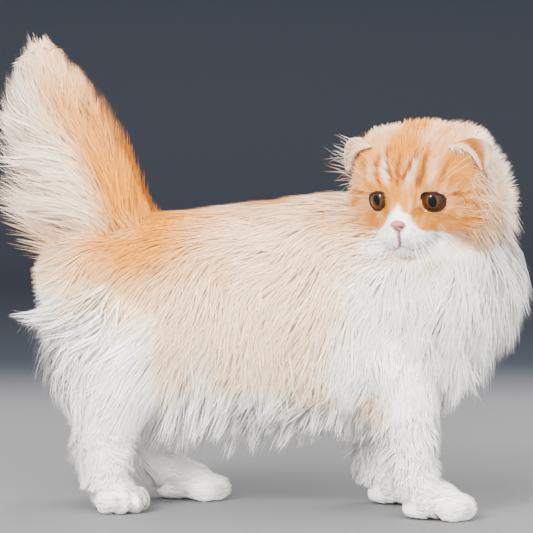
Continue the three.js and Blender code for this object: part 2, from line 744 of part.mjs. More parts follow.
const head = without(fitted(headPart, { after: [neckPart, trunkPart, ...earParts] }), [
  ...sides.map(([, side]) => lidOpening(side)),
  ...sides.map(([, side]) => eyeBall(side, GAP)),
  noseSolid(GAP),
  ...mouthGroove(),
]);
addNode("head", head, GINGER, headGroup);
addNode("nose", noseSolid(0), PINK, headGroup);
sides.forEach(([name, side], i) => {
  addNode(`eye_${name}`, eyeBall(side, 0), IRIS, headGroup);
  addNode(`ear_${name}`, fitted(earParts[i], { before: [headPart] }), GINGER, headGroup);
});
const besideNeck = { before: [headPart, ...earParts], after: [trunkPart, ...upperParts] };
addNode("neck", fitted(neckPart, besideNeck), WHITE);

legs.forEach(([end, name, , , [pawAt, heading, long]], i) => {
  const others = { before: [neckPart, lowerParts[i]], after: [trunkPart] };
  const limb = lowerParts[i].core;
  const paw = pawSolid(pawAt, heading, long, 0).subtract(below(0));
  const foot = joined([paw, limb.subtract(below(2))]).subtract(above(PAW_TOP - GAP));
  const upperName = end === "fore" ? "upper_arm" : "thigh";
  addNode(`${upperName}_${name}`, fitted(upperParts[i], others), end === "fore" ? CREAM : WHITE);
  addNode(`${end === "fore" ? "forearm" : "shank"}_${name}`, limb.subtract(below(PAW_TOP)), WHITE);
  addNode(`${end}_paw_${name}`, foot, WHITE);
});

// The tail's three lengths: each one's locks lie over the next.
const tailNormal = [-0.45, 0, 0.9];
function tailLengths(grow) {
  const gap = GAP - 2 * grow;
  const [first, rest] = parted(tail.solid(10, 10, CORE, grow), [-122, 1, 240], tailNormal, gap);
  return [first, ...parted(rest, [-150, 2, 288], tailNormal, gap)];
}
const tailCores = [tailLengths(0), tailLengths(GAP)];
const tailHair = plumeLocks();
const tailParts = tailHair.map((locks, i) => ({ core: tailCores[0][i], cutter: tailCores[1][i], locks }));
addNode("torso", fitted(trunkPart, {
  before: [headPart, neckPart, ...upperParts, ...lowerParts],
  after: tailParts,
}), CREAM);
["tail_root", "tail_middle", "tail_tip"].forEach((name, i) => {
  const others = { before: [trunkPart, ...tailParts.slice(0, i)], after: tailParts.slice(i + 1) };
  addNode(name, fitted(tailParts[i], others), i ? CREAM : GINGER);
});

const box = new THREE.Box3().setFromObject(cat, true);
cat.position.set(-(box.min.x + box.max.x) / 2, -(box.min.y + box.max.y) / 2, -box.min.z);

export default cat;
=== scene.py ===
"""The looks of a standing long-haired cat with folded ears, its tail raised and its head turned to its right.

Sizes are in millimetres in the body's own frame: +X the way the body faces, +Y its left, +Z up from the
floor. placed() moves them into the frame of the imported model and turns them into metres.
"""

from functools import partial

import bpy
import numpy as np
from mathutils import Euler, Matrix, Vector


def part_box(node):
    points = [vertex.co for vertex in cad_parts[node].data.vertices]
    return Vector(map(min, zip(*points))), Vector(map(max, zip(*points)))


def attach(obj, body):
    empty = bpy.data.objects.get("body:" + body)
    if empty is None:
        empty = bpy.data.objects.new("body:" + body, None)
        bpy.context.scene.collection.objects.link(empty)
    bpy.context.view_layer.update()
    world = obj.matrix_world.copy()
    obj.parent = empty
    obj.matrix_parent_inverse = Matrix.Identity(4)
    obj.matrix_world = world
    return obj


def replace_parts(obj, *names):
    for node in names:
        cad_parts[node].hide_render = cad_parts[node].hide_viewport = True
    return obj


MM = 0.001
RNG = np.random.default_rng(20260)

# Where the head is on the body, in degrees and millimetres.
HEAD_AT = np.array([121, -20, 239.5])
HEAD_TURN = -105
HEAD_NOD = 12

# The head's parts, in the head's frame: +X out of the nose, +Y to the left ear, +Z up from the crown.
EYE_RADIUS = 10.8
CORNEA_RISE = 0.55
CORNEA_SPREAD = 0.62
EYE_AT = np.array([28.4, 19.4, 1])
EYE_TURN = 13
EYE_LIFT = 3
LID_HALF_WIDE = 8.7
LID_HIGH = 5.9
LID_LOW = 7.8
LID_SLOPE = 0.12
LID_RIM_SIDES = 8
NOSE_AT = np.array([54, 0, -13])
NOSE_SIZE = np.array([5, 5.7, 4.1])
NOSTRIL_ASIDE = 3.5
MOUTH_MIDDLE = [44, 0, -19.3]

# The share of the coat's depth at which the skin lies.
SKIN_UNDER_LONG = 0.34
SKIN_UNDER_SHORT = 0.35

# The cubes that the skin is remade on, in metres, and the lowest that skin and paws reach over the floor.
SKIN_VOXEL = 0.0019
SOLE_HEIGHT = 0.4

# The unwrap: each tuft has a patch of this size, with its middle in a rectangle of left, bottom, right
# and top.
PATCH_SIZE = 0.003
WHOLE = (0.02, 0.02, 0.98, 0.98)

# The stage: the floor's reach, the bend up into the wall, the wall's top and half the width.
FLOOR_REACH = 3000.0
WALL_BEND = 600.0
WALL_TOP = 2800.0
STAGE_HALF = 4200
FLOOR_GREY = (0.13, 0.13, 0.134)
WALL_GREY = (0.0225, 0.0268, 0.0385)

# The camera: degrees round the cat, metres away and up, the height that it looks at, and millimetres of lens.
CAMERA_TURN = 10
CAMERA_DISTANCE = 2.0
CAMERA_HEIGHT = 0.28
AIM_HEIGHT = 0.182
LENS = 180

# Each lamp: metres from the aim towards the camera, to the camera's right and up, then size, watts and
# colour.
LAMPS = {
    "key_lamp": (1.5, -0.7, 1.15, 1.9, 165, (1, 0.98, 0.95)),
    "fill_lamp": (1.4, 1.3, 0.5, 1.8, 92, (0.97, 0.98, 1)),
    "edge_lamp": (-0.8, 0.5, 1.3, 0.8, 40, (1, 1, 1)),
    "eye_lamp": (1.5, -1.0, 0.95, 0.36, 52, (1, 1, 1)),
}
AIR_COLOUR = (0.88, 0.87, 0.86, 1)
AIR_STRENGTH = 1.35


def turned(x, y, z):
    """The rotation of degrees about X, then Y, then Z, as a 3 by 3 array."""
    return np.array(Euler(np.radians([x, y, z]).tolist()).to_matrix())


HEAD_AXES = turned(0, HEAD_NOD, HEAD_TURN)


def on_body(points):
    """Head frame to body frame: turned by the head's axes, then moved to its place."""
    return points @ HEAD_AXES.T + HEAD_AT


def on_head(points):
    """Body frame to head frame, the reverse of on_body."""
    return (points - HEAD_AT) @ HEAD_AXES


def eye_axes(side):
    """An eye's axes in the head frame: it looks along its X, with Y to the left and Z up."""
    return turned(0, -EYE_LIFT, EYE_TURN * side)


def sided(point, side):
    """The point, or its mirror image on the right side."""
    return np.asarray(point, float) * [1, side, 1]


# Sums on arrays


def unit(vectors):
    """Vectors divided by their own length."""
    return vectors / np.maximum(np.linalg.norm(vectors, axis=-1, keepdims=True), 1e-9)


def ease(value, low, high):
    """0 under low and 1 over high, with the smooth step 3t^2 - 2t^3 between. low may be above high."""
    t = np.clip((value - low) / (high - low), 0, 1)
    return t * t * (3 - 2 * t)


def mix(a, b, t):
    """a + (b - a) t."""
    return a + (b - a) * t


def circle(count):
    """Angles spread evenly over a full turn."""
    return np.linspace(0, 2 * np.pi, count, endpoint=False)


def pairs(first, second):
    """Each value of one list with each of the other, as two flat arrays. The second list's runs
    fastest."""
    return (values.ravel() for values in np.meshgrid(first, second, indexing="ij"))


def scattered(count):
    """count pairs between 0 and 1, spread evenly: the fractions of n times two fixed irrational steps."""
    n = np.arange(1, count + 1)[:, None]
    return (0.5 + n * np.array([0.7548776662, 0.5698402910])) % 1


def ripple(points, size, seed):
    """A smooth wandering number of about -1 to 1: the sum of twelve sine waves of lengths near size."""
    rng = np.random.default_rng(seed)
    waves = unit(rng.normal(size=(12, points.shape[-1]))) * (2 * np.pi / size)
    waves = waves * rng.uniform(0.6, 1.5, (12, 1))
    return np.sin(points @ waves.T + rng.uniform(0, 6.28, 12)).sum(-1) / 3.5


def drawn(cells, seed):
    """One random number between 0 and 1 for each whole-numbered cell, the same each time."""
    mixed = cells[..., 0] * 12.9898 + cells[..., 1] * 78.233 + seed * 37.719
    return np.abs(np.sin(mixed) * 43758.5453) % 1


def gathered(places, size, seed):
    """For each place on a plane, the nearest centre of a jittered grid of that size and that centre's
    cell."""
    own = np.floor(places / size)
    best = np.full(len(places), np.inf)
    centre = np.zeros_like(places)
    cell = np.zeros_like(places)
    for i in (-1, 0, 1):
        for j in (-1, 0, 1):
            trial = own + [i, j]
            jitter = np.stack([drawn(trial, seed), drawn(trial, seed + 1)], -1)
            at = (trial + jitter) * size
            distance = np.linalg.norm(at - places, axis=1)
            nearer = distance < best
            best = np.where(nearer, distance, best)
            centre[nearer] = at[nearer]
            cell[nearer] = trial[nearer]
    return centre, cell


def between(rows, u):
    """A Catmull-Rom curve through the rows, from the first at u = 0 to the last at u = 1."""
    place = np.clip(u, 0, 1) * (len(rows) - 1)
    k = np.minimum(place.astype(int), len(rows) - 2)
    t = (place - k)[..., None]
    a, b, c, d = (rows[np.clip(k + i, 0, len(rows) - 1)] for i in (-1, 0, 1, 2))
    return b + 0.5 * t * (c - a + t * (2 * a - 5 * b + 4 * c - d + t * (3 * (b - c) - a + d)))


# Forms of the body


class SpineForm:
    """A round form along a spine. Each station has its place, the flesh's half sizes beside, above and
    below the spine, and the coat's depth above, beside and below it. over is the way that counts as
    above. Each cap has the length of the flesh's dome at that end, and what the whole coat adds to it."""

    def __init__(self, over, caps, stations, open_ends=(False, False)):
        self.open_ends = open_ends
        self.rows = np.array([place + flesh + coat for place, flesh, coat in stations], float)
        self.over = np.array(over, float)
        self.caps = caps
        spine = between(self.rows, np.linspace(0, 1, 200))[:, :3]
        self.length = np.linalg.norm(np.diff(spine, axis=0), axis=1).sum()
        ends = np.array([0.0, 1.0, -1.0, 2.0])
        rims = self.surface(ends, np.array([np.pi / 2, np.pi / 2, 0, 0]), np.ones(4))
        self.domes = 1.1 * np.linalg.norm(rims[:2] - rims[2:], axis=1)

    def axes(self, u):
        """The spine's direction, the way above it, and their cross product beside it."""
        ahead = between(self.rows, np.minimum(u + 0.01, 1))[:, :3]
        along = unit(ahead - between(self.rows, np.maximum(u - 0.01, 0))[:, :3])
        above = unit(self.over - along * (along @ self.over)[:, None])
        return along, above, np.cross(above, along)

    def surface(self, u, turn, share):
        """An ellipse round the spine, wider by that share of the coat, that shrinks as a quarter circle
        on each domed end, where u is under 0 or over 1."""
        inside = np.clip(u, 0, 1)
        bend = np.abs(u - inside) * np.pi / 2
        x, y, z, wide, high, low, coat_over, coat_beside, coat_under = between(self.rows, inside).T
        along, above, beside = self.axes(inside)
        up, side = np.cos(turn), np.sin(turn)
        reach = (coat_beside * side**2 + np.where(up > 0, coat_over, coat_under) * up**2) * share
        sideways = (wide + reach) * side * np.cos(bend)
        upward = (np.where(up > 0, high, low) + reach) * up * np.cos(bend)
        first, last = (self.caps[i][0] + self.caps[i][1] * share for i in (0, 1))
        onward = np.where(u < 0, -first, np.where(u > 1, last, 0)) * np.sin(bend)
        spine = np.stack([x, y, z], -1)
        return spine + beside * sideways[:, None] + above * upward[:, None] + along * onward[:, None]

    def u_at(self, run):
        """u at so many millimetres along the form, counted from its first station."""
        before = run / self.domes[0]
        after = 1 + (run - self.length) / self.domes[1]
        return np.where(run < 0, before, np.where(run > self.length, after, run / self.length))

    def at(self, run, turn, share):
        """The surface by millimetres along the form. Where an end is open, it goes straight on past
        it."""
        u = np.clip(self.u_at(run), -0.98, 1.98)
        first, last = self.open_ends
        u = np.clip(u, 0 if first else -1, 1 if last else 2)
        past = np.where(first & (run < 0), run, 0)
        past = past + np.where(last & (run > self.length), run - self.length, 0)
        return self.surface(u, turn, share) + self.axes(np.clip(u, 0, 1))[0] * past[:, None]

    def grid(self, share, rings, around):
        """The closed surface as rings of points, with a pole at each end."""
        dome = np.sin(np.linspace(1.45, 0.25, 6))
        u = np.concatenate([-dome, np.linspace(0, 1, rings), 1 + dome[::-1]])
        u_all, turn_all = pairs(u, circle(around))
        body = self.surface(u_all, turn_all, np.full(u_all.shape, share))
        poles = self.surface(np.array([-1.0, 2.0]), np.zeros(2), np.full(2, share))
        return body.reshape(len(u), around, 3), poles


class BlobForm:
    """Ellipsoids that melt into each other. Each has its middle, its radii with the coat on, and the
    coat's depth. A point of the surface is found along a ray from the heart."""

    def __init__(self, heart, melt, blobs):
        self.heart = np.array(heart, float)
        self.melt = melt
        self.middles = np.array([blob[0] for blob in blobs], float)
        self.radii = np.array([blob[1] for blob in blobs], float)
        self.coats = np.array([blob[2] for blob in blobs], float)

    def outside(self, points, share):
        """About the distance from the surface: minus melt times the log of the sum of each blob's
        exp(-distance / melt), so that near blobs flow together."""
        radii = self.radii + self.coats[:, None] * (np.asarray(share)[..., None, None] - 1)
        scaled = (points[:, None, :] - self.middles) / radii
        length = np.linalg.norm(scaled, axis=-1)
        slope = np.linalg.norm(scaled / radii, axis=-1)
        distance = length * (length - 1) / np.maximum(slope, 1e-6)
        return -self.melt * np.log(np.exp(-np.clip(distance / self.melt, -60, 60)).sum(-1))

    def surface(self, direction, share):
        """The last place inside along each direction, halved 18 times from a span of 140 mm."""
        direction = unit(direction)
        near = np.zeros(len(direction))
        step = 70.0
        for _ in range(18):
            trial = near + step
            inside = self.outside(self.heart + direction * trial[:, None], share) < 0
            near = np.where(inside, trial, near)
            step /= 2
        return self.heart + direction * near[:, None]

    def normal(self, points, share):
        """The way out of the form: how the distance outside grows along each axis, by steps of 1 mm."""
        shares = np.full(len(points), share)
        ahead = [self.outside(points + axis, shares) for axis in np.eye(3)]
        behind = [self.outside(points - axis, shares) for axis in np.eye(3)]
        return unit(np.stack(ahead, -1) - np.stack(behind, -1))

    def polar(self, back, turn, share):
        """The surface at an angle back from +X and a turn round it, from +Z towards +Y."""
        direction = np.stack([np.cos(back), np.sin(back) * np.sin(turn), np.sin(back) * np.cos(turn)], -1)
        return self.surface(direction, share)

    def grid(self, share, rings, around):
        """The closed surface as rings round +X, with a pole in front and one behind."""
        back = np.pi * (np.arange(1, rings) / rings) ** 1.15
        back_all, turn_all = pairs(back, circle(around))
        body = self.polar(back_all, turn_all, np.full(back_all.shape, share))
        poles = self.polar(np.array([0.0, np.pi]), np.zeros(2), np.full(2, share))
        return body.reshape(len(back), around, 3), poles


HEAD = BlobForm(
    [4, 0, -7],
    4,
    [
        [[-4, 0, 9], [45, 52, 43], 6],
        [[-2, 34, 26], [24, 21, 24], 6],
        [[-2, -31, 24], [23, 19, 22], 6],
        [[-20, 38, -10], [24, 23, 38], 14],
        [[-20, -38, -10], [24, 23, 38], 14],
        [[12, 0, 2], [29, 42, 30], 3],
        [[3, 31, -16], [31, 27, 27], 10],
        [[3, -31, -16], [31, 27, 27], 10],
        [[34, 0, -17], [18, 17, 13], 2],
        [[42, 8.5, -21], [11.5, 10.5, 9.5], 2],
        [[42, -8.5, -21], [11.5, 10.5, 9.5], 2],
        [[38, 0, -5], [14.5, 8, 9], 1.5],
        [[37, 0, -34], [11, 11, 8], 3],
        [[8, 0, -30], [28, 30, 18], 9],
    ],
)
TRUNK = SpineForm(
    [0, 0, 1],
    [[18, 34], [22, 38]],
    [
        [[-124, 0, 172], [30, 34, 34], [9, 22, 34]],
        [[-100, 0, 168], [43, 46, 54], [9, 20, 44]],
        [[-62, 0, 164], [48, 53, 62], [9, 18, 50]],
        [[-20, 0, 162], [50, 58, 66], [11, 18, 46]],
        [[22, 0, 160], [49, 64, 70], [12, 18, 38]],
        [[64, 0, 160], [46, 67, 74], [12, 18, 32]],
        [[102, -1, 158], [42, 58, 68], [13, 22, 30]],
        [[132, -2, 154], [34, 44, 48], [20, 26, 30]],
    ],
)
NECK = SpineForm(
    [-0.9, 0.3, 0.4],
    [[8, 0], [8, 0]],
    [
        [[98, -2, 160], [38, 36, 40], [12, 24, 48]],
        [[107, -5, 178], [40, 38, 42], [14, 28, 52]],
        [[116, -8, 196], [38, 36, 40], [14, 22, 54]],
        [[125, -11, 214], [34, 32, 36], [8, 14, 52]],
        [[134, -14, 232], [28, 26, 28], [4, 10, 46]],
    ],
    (True, False),
)
TAIL = SpineForm(
    [1, 0, 0.4],
    [[6, 6], [3, 6]],
    [
        [[-96, 0, 186], [12, 12, 12], [14, 20, 20]],
        [[-108, 0, 212], [10, 11, 11], [10, 24, 46]],
        [[-124, 1, 244], [8, 8, 8], [12, 28, 62]],
        [[-141, 2, 276], [7, 7, 7], [15, 30, 62]],
        [[-157, 3, 304], [6, 6, 6], [16, 28, 52]],
        [[-168, 4, 326], [5, 5, 5], [12, 20, 34]],
        [[-174, 5, 344], [3, 3, 3], [9, 14, 18]],
    ],
    (False, True),
)


def fore_leg(side, forward):
    """A foreleg from inside the shoulder to inside the paw."""
    return SpineForm(
        [1, 0, 0],
        [[10, 0], [8, 0]],
        [
            [[102 + forward, 31 * side, 148], [15, 20, 22], [6, 9, 12]],
            [[107 + forward, 36 * side, 124], [17, 21, 23], [8, 12, 18]],
            [[112 + forward, 38 * side, 98], [15, 19, 19], [5, 7, 13]],
            [[115 + forward, 38 * side, 66], [13, 15, 15], [5, 6, 12]],
            [[117 + forward, 38 * side, 40], [12, 13, 13], [5, 6, 9]],
            [[121 + forward, 38 * side, 20], [12, 13, 14], [4, 5, 5]],
        ],
    )


HIND_RIGHT = SpineForm(
    [1, 0, 0],
    [[10, 0], [8, 0]],
    [
        [[-86, -32, 170], [17, 32, 32], [6, 11, 36]],
        [[-86, -37, 146], [20, 38, 36], [8, 13, 52]],
        [[-92, -38, 118], [18, 34, 30], [8, 13, 57]],
        [[-107, -38, 86], [14, 22, 20], [8, 10, 40]],
        [[-114, -36, 62], [12, 17, 16], [7, 8, 10]],
        [[-116, -36, 42], [12, 15, 14], [6, 7, 8]],
        [[-113, -36, 20], [11, 13, 13], [4, 4, 5]],
    ],
)
HIND_LEFT = SpineForm(
    [1, 0, 0],
    [[10, 0], [8, 0]],
    [
        [[-82, 32, 168], [17, 32, 32], [6, 11, 36]],
        [[-80, 37, 144], [20, 38, 36], [8, 13, 50]],
        [[-86, 38, 114], [18, 32, 30], [8, 13, 54]],
        [[-102, 38, 82], [14, 20, 20], [8, 10, 36]],
        [[-114, 36, 56], [12, 13, 13], [6, 7, 8]],
        [[-103, 36, 35], [11, 12, 11], [5, 6, 5]],
        [[-84, 36, 21], [11, 11, 10], [4, 4, 4]],
    ],
)


def paw_form(long):
    """A paw in its own frame, +X out of the toes: the foot, four toes and the heel."""

    def toe(x, y, size):
        """One toe, an upright ellipsoid."""
        return [[x * long, y, 8.5], [10.5 * size, 6.6 * size, 9.5 * size], 2]

    return BlobForm(
        [0, 0, 10],
        1.6,
        [
            [[-4, 0, 14], [20, 15.5, 14], 3],
            [[-12, 0, 18], [15, 15, 16], 3],
            toe(17, 5.6, 1),
            toe(17, -5.6, 1),
            toe(10, 15, 0.92),
            toe(10, -15, 0.92),
            [[-14 * long, 0, 7], [14, 13, 9], 2],
        ],
    )


# Each leg: name, side, form, first millimetre of its short-haired part, paw's place, heading and length.
LEGS = [
    ("fore_right", -1, fore_leg(-1, 0), 54, [134, -38], 0, 1),
    ("fore_left", 1, fore_leg(1, -36), 54, [98, 38], 0, 1),
    ("hind_right", -1, HIND_RIGHT, 108, [-108, -37], -50, 1),
    ("hind_left", 1, HIND_LEFT, 108, [-65, 37], 0, 1.1),
]


def paw_on_body(points, at, heading):
    """A paw's points turned by its heading and set on its place, with the sole flattened at the floor."""
    moved = points @ turned(0, 0, heading).T + [at[0], at[1], 0]
    moved[..., 2] = np.maximum(moved[..., 2], SOLE_HEIGHT)
    return moved


# Meshes from arrays


def placed(points):
    """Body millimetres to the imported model's frame, in metres."""
    return (points + SHIFT) * MM


def mesh_of(name, points, faces):
    """A mesh from points in body millimetres and faces as an array or list."""
    mesh = bpy.data.meshes.new(name)
    faces = np.asarray(faces, np.int32)
    count, corners = faces.shape
    mesh.vertices.add(len(points))
    mesh.vertices.foreach_set("co", placed(points).astype(np.float32).ravel())
    mesh.loops.add(count * corners)
    mesh.loops.foreach_set("vertex_index", faces.ravel())
    mesh.polygons.add(count)
    mesh.polygons.foreach_set("loop_start", np.arange(0, count * corners, corners, dtype=np.int32))
    mesh.update(calc_edges=True)
    mesh.polygons.foreach_set("use_smooth", np.ones(count, bool))
    return mesh


def shown(name, data):
    """An object of that mesh, lamp or camera, put in the scene."""
    made = bpy.data.objects.new(name, data)
    bpy.context.scene.collection.objects.link(made)
    return made


def piece(name, mesh, material):
    """An object of the scene that rides on the cat, with the material given."""
    made = shown(name, mesh)
    made.data.materials.append(material)
    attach(made, "root")
    return made


def closed_faces(rings, around):
    """Triangles over rings of points with a pole before the first ring and one after the last. The poles
    are the two points after the rings'."""
    ring, step = pairs(np.arange(rings - 1), np.arange(around))
    after = (step + 1) % around
    a, b = ring * around + step, ring * around + after
    c, d = b + around, a + around
    i = np.arange(around)
    j = (i + 1) % around
    last = (rings - 1) * around
    before = np.stack([np.full(around, rings * around), j, i], -1)
    behind = np.stack([np.full(around, rings * around + 1), last + i, last + j], -1)
    sides = np.concatenate([np.stack([a, b, c], -1), np.stack([a, c, d], -1)])
    return np.concatenate([sides, before, behind])


def outward(points, faces):
    """The faces, turned round if the closed surface they make holds a negative volume."""
    a, b, c = (points[faces[:, i]] for i in range(3))
    volume = np.einsum("ij,ij->i", a, np.cross(b, c)).sum()
    return faces if volume > 0 else faces[:, ::-1]


def closed_mesh(grid, poles):
    """Points and outward faces of rings with two poles."""
    points = np.concatenate([grid.reshape(-1, 3), poles])
    return points, outward(points, closed_faces(grid.shape[0], grid.shape[1]))


def ball_points(rings, around):
    """A ball of radius 1 in rings round +X, then its front and rear poles: each point's angle a from +X,
    its turn t from +Y towards +Z, and its place (cos a, sin a cos t, sin a sin t)."""
    angle, turn = pairs(np.linspace(0, np.pi, rings + 2)[1:-1], circle(around))
    angle = np.append(angle, [0, np.pi])
    turn = np.append(turn, [0, 0])
    aside, up = np.sin(angle) * np.cos(turn), np.sin(angle) * np.sin(turn)
    return angle, turn, np.stack([np.cos(angle), aside, up], -1)


def joined_solids(solids):
    """Several closed meshes as one list of points and faces."""
    first = 0
    faces = []
    for points, own in solids:
        faces.append(own + first)
        first += len(points)
    return np.concatenate([points for points, _ in solids]), np.concatenate(faces)


def unwrap(mesh, name, places, faces):
    """A UV map that puts each face's corners on their points' places."""
    layer = mesh.uv_layers.new(name=name)
    layer.data.foreach_set("uv", places[faces.ravel()].astype(np.float32).ravel())


def paint_points(mesh, name, values):
    """A colour attribute with one value for each point."""
    layer = mesh.attributes.new(name, "FLOAT_COLOR", "POINT")
    rows = np.ones((len(values), 4), np.float32)
    rows[:, : values.shape[1]] = values
    layer.data.foreach_set("color", rows.ravel())


# The markings: how ginger, how cream and how darkly striped the coat is at a place of the body, with
# painted shadow under the chin and in the slit under a folded ear


def spot_at(y, z, middle, radii, lean=0.0):
    """1 in the middle of an oval on the face and 0 at its edge. lean slants it outwards as it goes up."""
    away = np.hypot((y - middle[0] - lean * (z - middle[1])) / radii[0], (z - middle[1]) / radii[1])
    return ease(away, 1.25, 0.45)


# Dark lines on the brow by height, and behind the eyes by distance from the middle. Each has where it is,
# the place along it where it is there, its lean, the distances from it of its edge and its core, its
# strength, and the stretches along it over which it starts and ends.
BROW_LINES = [
    (0, 14.8, 0, 1.8, 0.7, 1, (8, 13), (30, 24)),
    (3.6, 14.8, 0.5, 1.9, 0.7, 1, (12, 15), (36, 28)),
    (14.2, 14.8, 0.16, 2.0, 0.8, 0.9, (8, 12), (32, 26)),
    (27, 14.8, 0.2, 2.3, 0.8, 0.6, (10, 14), (30, 22)),
]
EYE_STREAKS = [
    (4.4, 30, -0.26, 1.7, 0.6, 1, (28, 32), (52, 44)),
    (-2.2, 34, -0.5, 1.6, 0.5, 0.7, (31, 35), (54, 46)),
    (-10.5, 30, -0.4, 1.6, 0.5, 0.6, (26, 31), (50, 42)),
]
# Half the width of the white muzzle and blaze by height, and the ends of the painted shadow in the
# slit under a folded ear.
MUZZLE_HEIGHTS = [-36, -31, -27, -21, -17, -13, -9, -5, 3]
MUZZLE_HALVES = [25, 27, 27, 23, 16, 10.5, 7.5, 5, 0]
EAR_SLIT_SHADOW = np.array([[4, 52.3, 8], [13, 49, 20]])
# The heights of the rows of dark dots at the whiskers' roots, and the spacing of the dots.
WHISKER_ROWS = [-15.4, -20.5, -25.7]
DOT_SPACING = 3.6


def thin_lines(across, along, rows):
    """The strength of each row's line: ease over the distance |across - place - lean (along - start)|."""
    found = []
    for place, start, lean, edge, core, strength, begin, end in rows:
        away = np.abs(across - place - lean * (along - start))
        found.append(strength * ease(away, edge, core) * ease(along, *begin) * ease(along, *end))
    return np.array(found)


def ear_slit_shadow(x, side, z):
    """Painted shadow: 1 on the slit under a folded ear, 0 from 4 mm off it: by distance from the straight
    line between its ends."""
    low, high = EAR_SLIT_SHADOW
    from_low = np.stack([x, side, z], -1) - low
    share = np.clip(from_low @ (high - low) / ((high - low) @ (high - low)), 0, 1)[:, None]
    return ease(np.linalg.norm(from_low - share * (high - low), axis=1), 4.0, 2.0)


def head_marks_and_shade(q):
    """Markings by place in the head frame. The brow is ginger with pale ovals over the eyes and thin dark
    lines between them. A ginger band runs up over the crown, three streaks run back from each eye, and
    the cheeks are deep ginger under the eyes. The muzzle, a narrow blaze over the nose, the chin and the
    throat are white. Painted shadow darkens the slit under each folded ear."""
    wander = ripple(q, 16, 5)
    x, y, z = (q + ripple(q, 7, 6)[:, None] * 0.5).T
    side = np.abs(y)
    front = ease(x, -6, 16)
    rear = ease(x, 10, -30)
    brow_y = y + 2.4 * ease(z, 2, 12)
    brow_side = np.abs(brow_y)

    edge = np.interp(z, MUZZLE_HEIGHTS, MUZZLE_HALVES) + wander
    white = ease(side, edge + 1.6, edge - 1.2) * ease(x, 8, 20) * ease(z, 3, 1)
    white = np.maximum(white, ease(z, -32, -39) * ease(side, 34, 22))
    white = np.maximum(white, ease(z + 2 * wander, -36, -48))

    inner_oval = spot_at(brow_side, z, [8.2, 18.5], [3.6, 9.5], 0.1)
    outer_oval = spot_at(brow_side, z, [21, 19.5], [4.4, 8.5], 0.1)
    pale = np.maximum(inner_oval, 0.6 * outer_oval)
    lines = thin_lines(brow_side, z, BROW_LINES).max(0) * front
    streak = np.clip(thin_lines(z, side, EYE_STREAKS).sum(0), 0, 1) * front

    brow = ease(z, 4, 12) * ease(z, 44, 28) * ease(x, 0, 20) * ease(side, 44, 30)
    band = ease(np.abs(y + 3.5 - 0.12 * (z - 30)) + 1.5 * wander, 16, 3) * ease(z, 22, 32) * ease(x, -34, -6)
    cheek = spot_at(side, z, [22, -13], [15, 9]) * front
    corner = spot_at(side, z, [11.5, -4.5], [4.2, 3.8], 0.6) * front
    bridge = ease(brow_side, 6, 2.5) * ease(z, -3, 3) * ease(z, 14, 9) * front

    from_nose = q - HEAD.heart
    back = np.arccos(unit(from_nose)[:, 0])
    turn = np.arctan2(from_nose[:, 1], from_nose[:, 2])
    hairs = ripple(np.stack([back * 6, turn * 26 * np.sin(back)], -1), 2.6, 8)
    tabby = ripple(np.stack([back * 9, turn * 22 * np.sin(back)], -1), 8, 9)
    ginger = 0.83 + 0.1 * wander + 0.14 * brow + 0.24 * band + 0.1 * cheek + 0.4 * corner + 0.2 * bridge
    ginger = ginger + 0.1 * hairs + 0.1 * tabby + 0.3 * lines + 0.3 * streak
    ginger = ginger * (1 - 0.35 * ease(z, 26, 38) * (1 - band)) * (1 - 0.72 * rear * (1 - 0.6 * band))
    ginger = ginger * (1 - 0.75 * ease(side, 36, 50)) * (1 - 0.75 * ease(z, -17, -29)) * (1 - 0.66 * pale)
    ginger = np.clip(ginger, 0, 1) * (1 - white)
    dark = 0.05 + lines + 0.85 * streak + 0.45 * corner + 0.08 * band + 0.06 * cheek
    # The slit under each folded ear: deep ginger as painted shadow.
    dark = (dark + ear_slit_shadow(x, side, z) + 0.1 * np.maximum(hairs + tabby, 0)) * (1 - white)
    for row, height in enumerate(WHISKER_ROWS):
        nearest = np.abs((side - 7.5 - row) % DOT_SPACING - DOT_SPACING / 2) - DOT_SPACING / 2
        dots = ease(np.hypot(nearest, z - height), 0.95, 0.4) * (side > 6) * (side < 19.5) * (x > 34)
        dark = np.maximum(dark, 0.45 * dots)
    cream = (1 - white) * (0.72 - 0.45 * rear) * (1 - 0.55 * pale) * (1 - 0.5 * ease(side, 44, 56))
    return np.clip(np.stack([ginger, cream, dark], -1), 0, 1)


